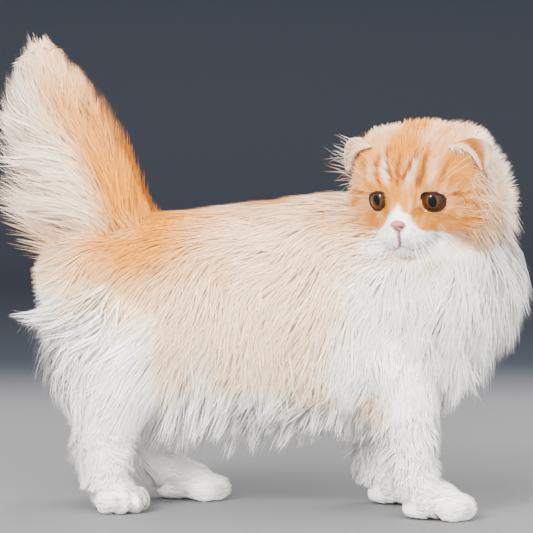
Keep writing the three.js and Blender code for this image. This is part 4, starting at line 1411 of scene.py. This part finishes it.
def head_tufts(count, backs, seed, thickness, longer=1.0):
    """Tufts over the head between two angles back from +X. They lie away from the nose along its
    meridians, gathered in small clumps. One that would cross an eye, the nose or the mouth is tried again
    at half its length, and left out if that crosses too."""
    spread = scattered(count)
    back = np.arccos(mix(np.cos(backs[0]), np.cos(backs[1]), spread[:, 0]))
    turn = 2 * np.pi * spread[:, 1]
    root = HEAD.polar(back, turn, np.full(count, 0.3))
    _, cell = gathered(np.stack([back * 47, turn * 47 * np.sin(back)], -1), 5, seed)
    reach = np.linalg.norm(root - HEAD.heart, axis=1)
    length = face_length(root) * longer * RNG.uniform(0.75, 1.15, count)
    bend = 0.35 * ripple(root, 26, seed) + 0.5 * (drawn(cell, seed) - 0.5)
    stand = mix(0.8, 1.45, RNG.random(count) ** 2)
    bundles = []
    left = np.ones(count, bool)
    for shrink in (1.0, 0.5):
        path = []
        for t in (0, 0.5, 1):
            run = length * shrink * t / reach
            turn_here = turn + run * np.sin(bend) / np.maximum(np.sin(back + run), 0.2)
            path.append(HEAD.polar(back + run * np.cos(bend), turn_here, mix(0.1, stand, t**0.8)))
        path = np.stack(path, 1)
        good = left & clear_of_eyes(path) & clear_of_nose_and_mouth(path)
        left &= ~good
        width = thickness * mix(0.75, 1.2, ease(length, 3, 12)) * RNG.uniform(0.8, 1.2, count)
        width = width[good]
        facing = HEAD.normal(path[good, 0], 0.7) @ HEAD_AXES.T
        path = on_body(path[good])
        marks = marks_and_shade_at(path[:, 0])
        bundles.append(tuft_bundle(path, facing, width, width * 0.2, marks, on_patch(spread[good]), 0.6))
    return bundles


def head_coat():
    """The face, the crown, the nape and the mane, each a piece."""
    coat_piece("coat_face", head_tufts(13500, (0.1, 0.95), 80, 0.66))
    coat_piece("coat_crown", head_tufts(11900, (0.85, 2.0), 82, 0.62))
    coat_piece("coat_nape", head_tufts(4200, (1.9, 3.0), 84, 1.0, 1.3))
    coat_piece("coat_mane", [mane_tufts(7800, 86)])


# Eyes, nose, ears and whiskers


def closed_band(path, across, out, wide, thick, around):
    """A closed ring of skin: the ellipse across wide cos t + out thick sin t, carried round a closed
    path."""
    turn = circle(around)[None, :, None]
    sideways = across[:, None] * (np.cos(turn) * wide[:, None, None])
    upward = out[:, None] * (np.sin(turn) * thick[:, None, None])
    points = (path[:, None] + sideways + upward).reshape(-1, 3)
    rings = len(path)
    i, j = pairs(np.arange(rings), np.arange(around))
    here, next_ring = i * around, (i + 1) % rings * around
    beside = (j + 1) % around
    a, b, c, d = here + j, here + beside, next_ring + beside, next_ring + j
    faces = np.concatenate([np.stack([a, b, c], -1), np.stack([a, c, d], -1)])
    return points, outward(points, faces)


def eye_material():
    """An amber brown iris with darker fibres and rim round an upright black pupil, its top darker by painted
    shade of the upper lid, under a wet gloss.
    """
    finish = Finish("wet_eye")
    gaze = finish.node("ShaderNodeUVMap", {"uv_map": "gaze"})
    y, z = (part - 0.5 for part in finish.split("ShaderNodeSeparateXYZ", gaze)[:2])
    radius = (y * y + z * z) ** 0.5
    pupil_size = ((y * y) * 1.9 + z * z) ** 0.5
    iris = radius.eased(0.262, 0.248)
    rim = radius.eased(0.20, 0.255)
    inner = radius.eased(0.19, 0.06)
    angle = z.math("ARCTAN2", z, y)
    place = finish.node("ShaderNodeCombineXYZ", {}, {0: angle * 9, 1: radius * 18, 2: 0})
    fibres = finish.noise(1.6, 4, 0.65, place)
    amber = finish.mixed(fibres.eased(0.35, 0.7), (0.015, 0.006, 0.002), (0.046, 0.019, 0.006))
    amber = finish.mixed(inner * 0.5, amber, (0.10, 0.048, 0.017))
    amber = finish.mixed(rim * 0.9, amber, (0.016, 0.007, 0.004))
    # Painted shade of the upper lid: the iris darker towards its top.
    amber = finish.mixed(z.eased(0.03, 0.2) * 0.7, amber, (0.012, 0.006, 0.004))
    colour = finish.mixed(iris, (0.05, 0.024, 0.018), amber)
    colour = finish.mixed(pupil_size.eased(0.132, 0.121), colour, (0.001, 0.001, 0.001))
    return finish.surface(
        Base_Color=colour,
        Roughness=0.35,
        Coat_Weight=1.0,
        Coat_Roughness=0.02,
        Coat_IOR=1.31,
        Specular_IOR_Level=0.05,
    )


def rim_material():
    """The bare edge of the lids: dark brown, pink at the inner corner, with a damp sheen."""
    finish = Finish("lid_rim")
    pink = finish.attribute("marks")[0]
    grain = finish.noise(1500, 3)
    colour = finish.mixed(pink, (0.016, 0.008, 0.0065), (0.40, 0.16, 0.16))
    return finish.surface(
        Base_Color=finish.lit(colour, 0.8 + 0.4 * grain),
        Roughness=0.45 + 0.2 * grain,
        Normal=finish.bump(grain, 0.0002, 0.5),
        Specular_IOR_Level=0.2,
    )


def eyeball(rings, around):
    """A ball whose front swells as the cornea, by CORNEA_RISE exp(-(a / CORNEA_SPREAD)^2) at the angle a
    from its axis, and for each point its angle as a distance from the middle of the gaze map."""
    angle, turn, places = ball_points(rings, around)
    radius = EYE_RADIUS + CORNEA_RISE * np.exp(-((angle / CORNEA_SPREAD) ** 2))
    points = radius[:, None] * places
    gaze = 0.5 + (angle / np.pi)[:, None] * np.stack([np.cos(turn), np.sin(turn)], -1)
    return points, outward(points, closed_faces(rings, around)), gaze


def lid_rim(side):
    """The band of bare skin round an eye's opening: the line on the ball where lid_measure is 1, drawn
    out into an inner corner. Gives how far into the corner each point is, too."""
    turn = circle(72)
    y = LID_HALF_WIDE * np.cos(turn)
    z = np.where(np.sin(turn) > 0, LID_HIGH, LID_LOW) * np.sin(turn) - y * side * LID_SLOPE
    reach = lid_measure(y, z, side)
    y, z = y / reach, z / reach
    inner = ease(-y * side, 6.3, 8.6) * ease(z, 3.5, 0)
    y = y - side * 1.6 * inner
    z = z - 0.9 * inner
    x = np.sqrt(np.maximum(EYE_RADIUS**2 - y**2 - z**2, 4.0)) + 0.45
    path = np.stack([x, y, z], -1)
    out = unit(path)
    across = np.cross(unit(np.roll(path, -1, 0) - np.roll(path, 1, 0)), out)
    rim = closed_band(path, across, out, 0.85 + 0.9 * inner, 0.7 + 0.35 * inner, LID_RIM_SIDES)
    return *rim, np.repeat(inner, LID_RIM_SIDES)


def make_eyes():
    """Each eye's ball and the rim of its lids."""
    eye_finish, rim_finish = eye_material(), rim_material()
    for name, side in (("left", 1), ("right", -1)):
        axes, centre = eye_axes(side), sided(EYE_AT, side)
        points, faces, gaze = eyeball(44, 64)
        mesh = mesh_of(f"eyeball_{name}", on_body(points @ axes.T + centre), faces)
        unwrap(mesh, "gaze", gaze, faces)
        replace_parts(piece(f"eyeball_{name}", mesh, eye_finish), f"eye_{name}")
        points, faces, inner = lid_rim(side)
        mesh = mesh_of(f"lid_rim_{name}", on_body(points @ axes.T + centre), faces)
        paint_points(mesh, "marks", inner[:, None] * np.ones(3))
        piece(f"lid_rim_{name}", mesh, rim_finish)


def nose_material():
    """Pink, mottled and pebbled leather, dark in the nostrils and between the pebbles by painted shade,
    slightly damp.
    """
    finish = Finish("nose_leather")
    pebbles = finish.node("ShaderNodeTexVoronoi", {}, {"Scale": 1700, "Vector": finish.place()})
    mottle = finish.noise(350, 3)
    colour = finish.mixed(mottle.eased(0.3, 0.7), (0.33, 0.085, 0.085), (0.45, 0.145, 0.14))
    # The nostrils: painted shade, by the strength of their dents.
    colour = finish.mixed(finish.attribute("marks")[0], colour, (0.05, 0.018, 0.016))
    return finish.surface(
        # Darker in the grooves between the pebbles: painted shade.
        Base_Color=finish.lit(colour, 1.08 - 0.3 * pebbles),
        Roughness=0.36 + 0.25 * mottle,
        Normal=finish.bump(pebbles * -1, 0.00025, 0.7),
        Subsurface_Weight=0.15,
        Subsurface_Scale=0.002,
        Specular_IOR_Level=0.5,
    )


def make_nose():
    """The nose leather: an ellipsoid drawn in below, with a groove of 0.9 exp(-(y / 0.7)^2) down its
    middle and two nostrils, each a dent of 2.6 exp(-(aside / 1.35)^2 - (above / 0.85)^2)."""
    rings, around = 60, 80
    x, y, z = ball_points(rings, around)[2].T
    narrow = np.where(z < 0, 1 + 0.55 * z, 1)
    wide = np.sign(y) * np.abs(y) ** 0.85 * narrow
    points = np.stack([x, wide, z], -1) * NOSE_SIZE
    points[:, 0] += 1.2 * z
    front = x > 0
    points[:, 0] -= 0.9 * np.exp(-((points[:, 1] / 0.7) ** 2)) * ease(points[:, 2], 1.5, -2.5) * front
    # hole: each nostril's dent, stored as painted shade for the nose's material.
    hole = np.zeros(len(points))
    for side in (-1, 1):
        aside = points[:, 1] * side - NOSTRIL_ASIDE
        above = points[:, 2] + 0.7 + 0.35 * aside
        dent = np.exp(-((aside / 1.35) ** 2) - (above / 0.85) ** 2) * front
        points[:, 0] -= 2.6 * dent
        hole = np.maximum(hole, dent)
    faces = outward(points, closed_faces(rings, around))
    mesh = mesh_of("nose_leather", on_body(points + NOSE_AT), faces)
    paint_points(mesh, "marks", ease(hole, 0.25, 0.75)[:, None] * np.ones(3))
    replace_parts(piece("nose_leather", mesh, nose_material()), "nose")


# The left ear in the head's frame: the three points of its root's arc, its tip, the flap's height over
# the head from root to tip, its thickness, and the line of its fringe. The flap is a grid of so many
# points each way.
EAR_FRONT = np.array([21, 29, 37.0])
EAR_CREST = np.array([8, 40, 42.0])
EAR_REAR = np.array([0, 51, 29.0])
EAR_TIP = np.array([14, 48, 16.0])
EAR_HEIGHTS = np.array([[-5], [3.2], [5], [4.6], [3.6], [2.6]], float)
EAR_THICK = 2.2
EAR_LINE = np.array([[20, 29, 38], [17, 39, 31], [11, 48, 20], [4, 52, 8], [1, 53, 1]], float)
EAR_ACROSS = 26
EAR_OUT = 22


def ear_place(side, across, out, depth):
    """A folded ear's flap: from an arc on the skull, a curve of three points, it runs towards its tip
    over the head's surface, at a height that rises over the fold and falls to the tip."""
    across, out, depth = np.broadcast_arrays(across, out, depth)
    root = (
        EAR_FRONT * ((1 - across) ** 2)[:, None]
        + EAR_CREST * (2 * across * (1 - across))[:, None]
        + EAR_REAR * (across**2)[:, None]
    )
    share = out * (0.96 - 0.08 * (2 * across - 1) ** 2)
    toward = unit(mix(root, EAR_TIP, share[:, None]) - HEAD.heart)
    low = 1 - 0.3 * (2 * across - 1) ** 2
    height = between(EAR_HEIGHTS, out)[:, 0] * low * (0.6 if side > 0 else 0.15)
    point = HEAD.surface(toward, np.ones(len(toward))) + toward * (height - depth)[:, None]
    return point * [1, side, 1]


def flap_faces():
    """A flap's triangles: its upper grid, its under grid turned round, and the wall between their
    borders."""
    count = EAR_ACROSS * EAR_OUT
    index = np.arange(count).reshape(EAR_ACROSS, EAR_OUT)
    p, q, r, s = (part.ravel() for part in (index[:-1, :-1], index[1:, :-1], index[1:, 1:], index[:-1, 1:]))
    sheet = np.concatenate([np.stack([p, q, r], -1), np.stack([p, r, s], -1)])
    border = np.concatenate([index[0], index[1:, -1], index[-1, -2::-1], index[-2:0:-1, 0]])
    after = np.roll(border, -1)
    wall = np.stack([border, border + count, after + count], -1)
    wall_rest = np.stack([border, after + count, after], -1)
    return np.concatenate([sheet, sheet[:, ::-1] + count, wall, wall_rest])


def make_ears():
    """Each ear's flap, as thick as EAR_THICK sqrt(1 - (1 - edge)^2) with edge rising from 0 on its border
    to 1, and its coat: short ginger hair over it and a fringe of pale hair out of its front edge."""
    finish = skin_material()
    for name, side in (("left", 1), ("right", -1)):
        across, out = pairs(np.linspace(0, 1, EAR_ACROSS), np.linspace(0, 1, EAR_OUT))
        edge = np.minimum(np.minimum(across, 1 - across) * 9, (1 - out) * 7)
        thick = EAR_THICK * np.sqrt(np.clip(1 - (1 - np.clip(edge, 0, 1)) ** 2, 0.02, 1))
        depths = (EAR_THICK - thick) / 2, (EAR_THICK + thick) / 2
        points = np.concatenate([ear_place(side, across, out, depth) for depth in depths])
        mesh = mesh_of(f"ear_flap_{name}", on_body(points), outward(points, flap_faces()))
        paint_points(mesh, "marks", ear_marks_and_shade(points, np.tile(across, 2), side))
        paint_points(mesh, "depth", np.ones((len(points), 3)))
        piece(f"ear_flap_{name}", mesh, finish)
        coat_piece(f"coat_ear_{name}", [ear_tufts(side), ear_fringe(side)])


def ear_marks_and_shade(points, across, side):
    """A flap's markings: browner ginger just behind its front edge, its deep ginger partly painted shadow
    of the slit under the fold, and the crown's further back.
    """
    # Browner ginger of the flap, deepened in part as painted shadow of the slit under the fold.
    browner_and_slit_shadow = (ease(across, 0.8, 0.15) * (1 if side > 0 else 0.3))[:, None]
    return mix(head_marks_and_shade(points) * [1, 1, 0], [1.0, 0.8, 0.8], browner_and_slit_shadow)


def ear_tufts(side):
    """Short tufts over the flap: at t from 0 to 1 each has gone towards the flap's middle line and its
    tip, and stands further off the flap."""
    near = side > 0
    count = 3000
    spread = scattered(count)
    across, out = spread.T
    length = RNG.uniform(4, 8, count) / (32 if near else 22)
    stand = RNG.uniform(1.0, 3.0, count) * (1 if near else 1.6)
    path = []
    for t in (0, 0.5, 1):
        out_here = np.minimum(out + length * t, 1.04)
        path.append(ear_place(side, mix(across, 0.5, 0.15 * t), out_here, 0.3 - stand * t))
    path = np.stack(path, 1)
    facing = unit(path[:, 0] - HEAD.heart) @ HEAD_AXES.T
    rim = (0.7 * ease(across, 0.11, 0.02))[:, None]
    marks = ear_marks_and_shade(path[:, 0], across, side) + RNG.uniform(-0.12, 0.14, (count, 1)) * [1, 0, 1]
    marks = np.clip(mix(marks, [0.1, 0.3, 0], rim), 0, 1)
    width = RNG.uniform(0.7, 1.1, count)
    corner = on_patch(spread, (0.02, 0.02, 0.62, 0.98))
    return tuft_bundle(on_body(path), facing, width, width * 0.3, marks, corner, 0.6)


def ear_fringe(side):
    """Longer hairs rooted along the ear's front edge that run down it and bow outwards. The far ear's are
    fewer and blow out to the side."""
    near = side > 0
    count = 260 if near else 60
    spread = scattered(count)
    line = between(EAR_LINE, spread[:, 0] * 0.8)
    onward = unit(between(EAR_LINE, spread[:, 0] * 0.8 + 0.1) - line)
    toward = unit(line - HEAD.heart)
    root = HEAD.surface(toward, np.full(count, 0.6)) + toward * mix(0.5, 3.5, spread[:, 1:])
    front = unit(np.cross(onward, toward))
    loose = RNG.normal(0, 0.26, (count, 3))
    blown = 0.05 if near else 0.75
    length = RNG.uniform(*((5, 10) if near else (9, 24)), count)[:, None]
    sweep = unit(onward * (1 - blown) + front * mix(-0.1, 0.5, spread[:, 1:]) + toward * blown + loose)
    sweep = sweep * length
    path = np.stack([root, root + sweep * 0.5 + toward * 1.2, root + sweep], 1) * [1, side, 1]
    facing = (toward * [1, side, 1]) @ HEAD_AXES.T
    marks = RNG.random((count, 1)) * [0.35, 0.9, 0.22]
    width = RNG.uniform(0.35, 0.6, count) * (1 if near else 0.7)
    corner = on_patch(spread, (0.64, 0.02, 0.98, 0.98))
    return tuft_bundle(on_body(path), facing, width, width * 0.3, marks, corner, 0.5)


def whisker(toward, share, way, long, droop):
    """A curve of three points: the root on the head's surface, half the length out along its way, and the
    tip. The tip is droop's first value of the length along the way, and its second from there."""
    root = HEAD.surface(np.array([toward], float), np.array([share]))[0]
    run = unit(np.array(way)) * long
    return [root, root + run * 0.5, root + run * droop[0] + np.array(droop[1]) * long]


def make_whiskers():
    """Tapered hairs on curves root (1 - t)^2 + bend 2t (1 - t) + tip t^2, from four rows of roots on each
    whisker pad and two thinner ones over each eye."""
    curves = []
    radii = []
    for side in (-1, 1):
        for row in range(4):
            for i in range(4):
                toward = [40 - 3.2 * i, side * (8 + 3.3 * i), -13 - 3.2 * row + 0.4 * i]
                way = [0.5 - 0.14 * i, side * (0.5 + 0.08 * i), -0.3 - 0.3 * row]
                long = 30 + 5 * i + RNG.uniform(-4, 4)
                curves.append(whisker(toward, 0.5, way, long, (0.8, [-0.06, 0, -0.5])))
                radii.append(0.2)
        for i in range(2):
            toward = [26, side * (22 + 5 * i), 19 + 2 * i]
            way = [0.3, side * (0.9 + 0.25 * i), 0.8]
            curves.append(whisker(toward, 0.6, way, 40 - 8 * i, (0.85, [-0.2, side * 0.3, 0.1])))
            radii.append(0.05)
    roots, bends, tips = np.array(curves).transpose(1, 0, 2)[:, :, None]
    t = np.linspace(0, 1, 9)[None, :, None]
    path = on_body(roots * (1 - t) ** 2 + bends * 2 * t * (1 - t) + tips * t**2)
    facing = unit(path[:, 0] - on_body(HEAD.heart))
    width = np.array(radii) * 2
    marks = np.zeros((len(path), 3))
    bundle = tuft_bundle(path, facing, width, width, marks, on_patch(scattered(len(path))), 0.2)
    coat_piece("whiskers", [bundle])


# Floor, light and camera


UP = np.array([0, 0, 1.0])


def camera_ways():
    """The way from the cat towards the camera and the way to the camera's right, both level."""
    turn = np.radians(CAMERA_TURN)
    return np.array([np.sin(turn), -np.cos(turn), 0]), np.array([np.cos(turn), np.sin(turn), 0])


def make_stage():
    """A floor that bends up as a quarter circle into a plain wall: one sheet, a profile carried sideways.
    It is pale grey round the cat and dark blue grey well behind it."""
    towards, aside = camera_ways()
    turn = np.linspace(0, np.pi / 2, 24)
    bend = np.stack([FLOOR_REACH + WALL_BEND * np.sin(turn), WALL_BEND - WALL_BEND * np.cos(turn)], -1)
    profile = np.concatenate([[[-FLOOR_REACH, 0]], bend, [[FLOOR_REACH + WALL_BEND, WALL_TOP]]])
    sides = np.linspace(-STAGE_HALF, STAGE_HALF, 9)
    grid = profile[:, None, :1] * -towards + sides[None, :, None] * aside + profile[:, None, 1:] * UP
    rings, across = grid.shape[:2]
    i, j = pairs(np.arange(rings - 1), np.arange(across - 1))
    a = i * across + j
    faces = np.stack([a, a + 1, a + across + 1, a + across], -1)
    mesh = mesh_of("studio_sheet", grid.reshape(-1, 3) - SHIFT * [1, 1, 0], faces)
    finish = Finish("studio_paper")
    x, y = finish.split("ShaderNodeSeparateXYZ", finish.place())[:2]
    behind = x * float(-towards[0]) + y * float(-towards[1])
    colour = finish.mixed(behind.eased(0.7, 1.35), FLOOR_GREY, WALL_GREY)
    colour = finish.lit(colour, 0.96 + 0.08 * finish.noise(30, 3))
    sheet = shown("studio_sheet", mesh)
    sheet.data.materials.append(finish.surface(Base_Color=colour, Roughness=0.8))


def aimed(made, at, target):
    """Sets a lamp or camera on its place, looking at the target."""
    made.location = at
    made.rotation_euler = (Vector(target) - Vector(at)).to_track_quat("-Z", "Y").to_euler()


def lamp(name, at, target, size, power, colour, glints):
    """A soft square lamp. Only one that glints shows as a highlight in the eyes."""
    light = bpy.data.lights.new(name, "AREA")
    light.shape = "SQUARE"
    light.size = size
    light.energy = power
    light.color = colour
    made = shown(name, light)
    made.visible_glossy = glints
    aimed(made, at, target)


def make_lights_and_camera():
    """Key lamp high on the camera's left, a wide fill on its right, a lamp behind for the hair's edge, a
    small lamp that alone glints in the eyes, and the camera at the photograph's angle."""
    aim = np.array([SHIFT[0] * MM, SHIFT[1] * MM, AIM_HEIGHT])
    towards, aside = camera_ways()
    for name, (near, right, high, size, power, colour) in LAMPS.items():
        at = (aim + towards * near + aside * right + UP * high).tolist()
        lamp(name, at, aim.tolist(), size, power, colour, name == "eye_lamp")
    world = bpy.data.worlds.new("studio_air")
    bpy.context.scene.world = world
    world.use_nodes = True
    background = world.node_tree.nodes["Background"]
    background.inputs["Color"].default_value = AIR_COLOUR
    background.inputs["Strength"].default_value = AIR_STRENGTH
    lens = bpy.data.cameras.new("camera")
    lens.lens = LENS
    lens.sensor_width = 36
    camera = shown("camera", lens)
    place = aim + towards * CAMERA_DISTANCE
    place[2] = CAMERA_HEIGHT
    aimed(camera, place.tolist(), aim.tolist())
    bpy.context.scene.camera = camera


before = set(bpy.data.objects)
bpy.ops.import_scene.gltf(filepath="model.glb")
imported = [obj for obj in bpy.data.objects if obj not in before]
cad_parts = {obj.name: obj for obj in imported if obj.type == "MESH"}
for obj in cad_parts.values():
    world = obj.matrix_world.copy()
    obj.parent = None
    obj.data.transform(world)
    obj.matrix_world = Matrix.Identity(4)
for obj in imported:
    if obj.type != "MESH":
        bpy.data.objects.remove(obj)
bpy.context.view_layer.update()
lowest, highest = (np.array(corner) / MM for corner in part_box("eye_right"))
SHIFT = (lowest + highest) / 2 - on_body(sided(EYE_AT, -1))

make_lights_and_camera()
make_stage()
HAIR = hair_material()
make_skin()
make_eyes()
make_nose()
make_lips()
make_ears()
body_coat()
paw_coat()
head_coat()
make_whiskers()
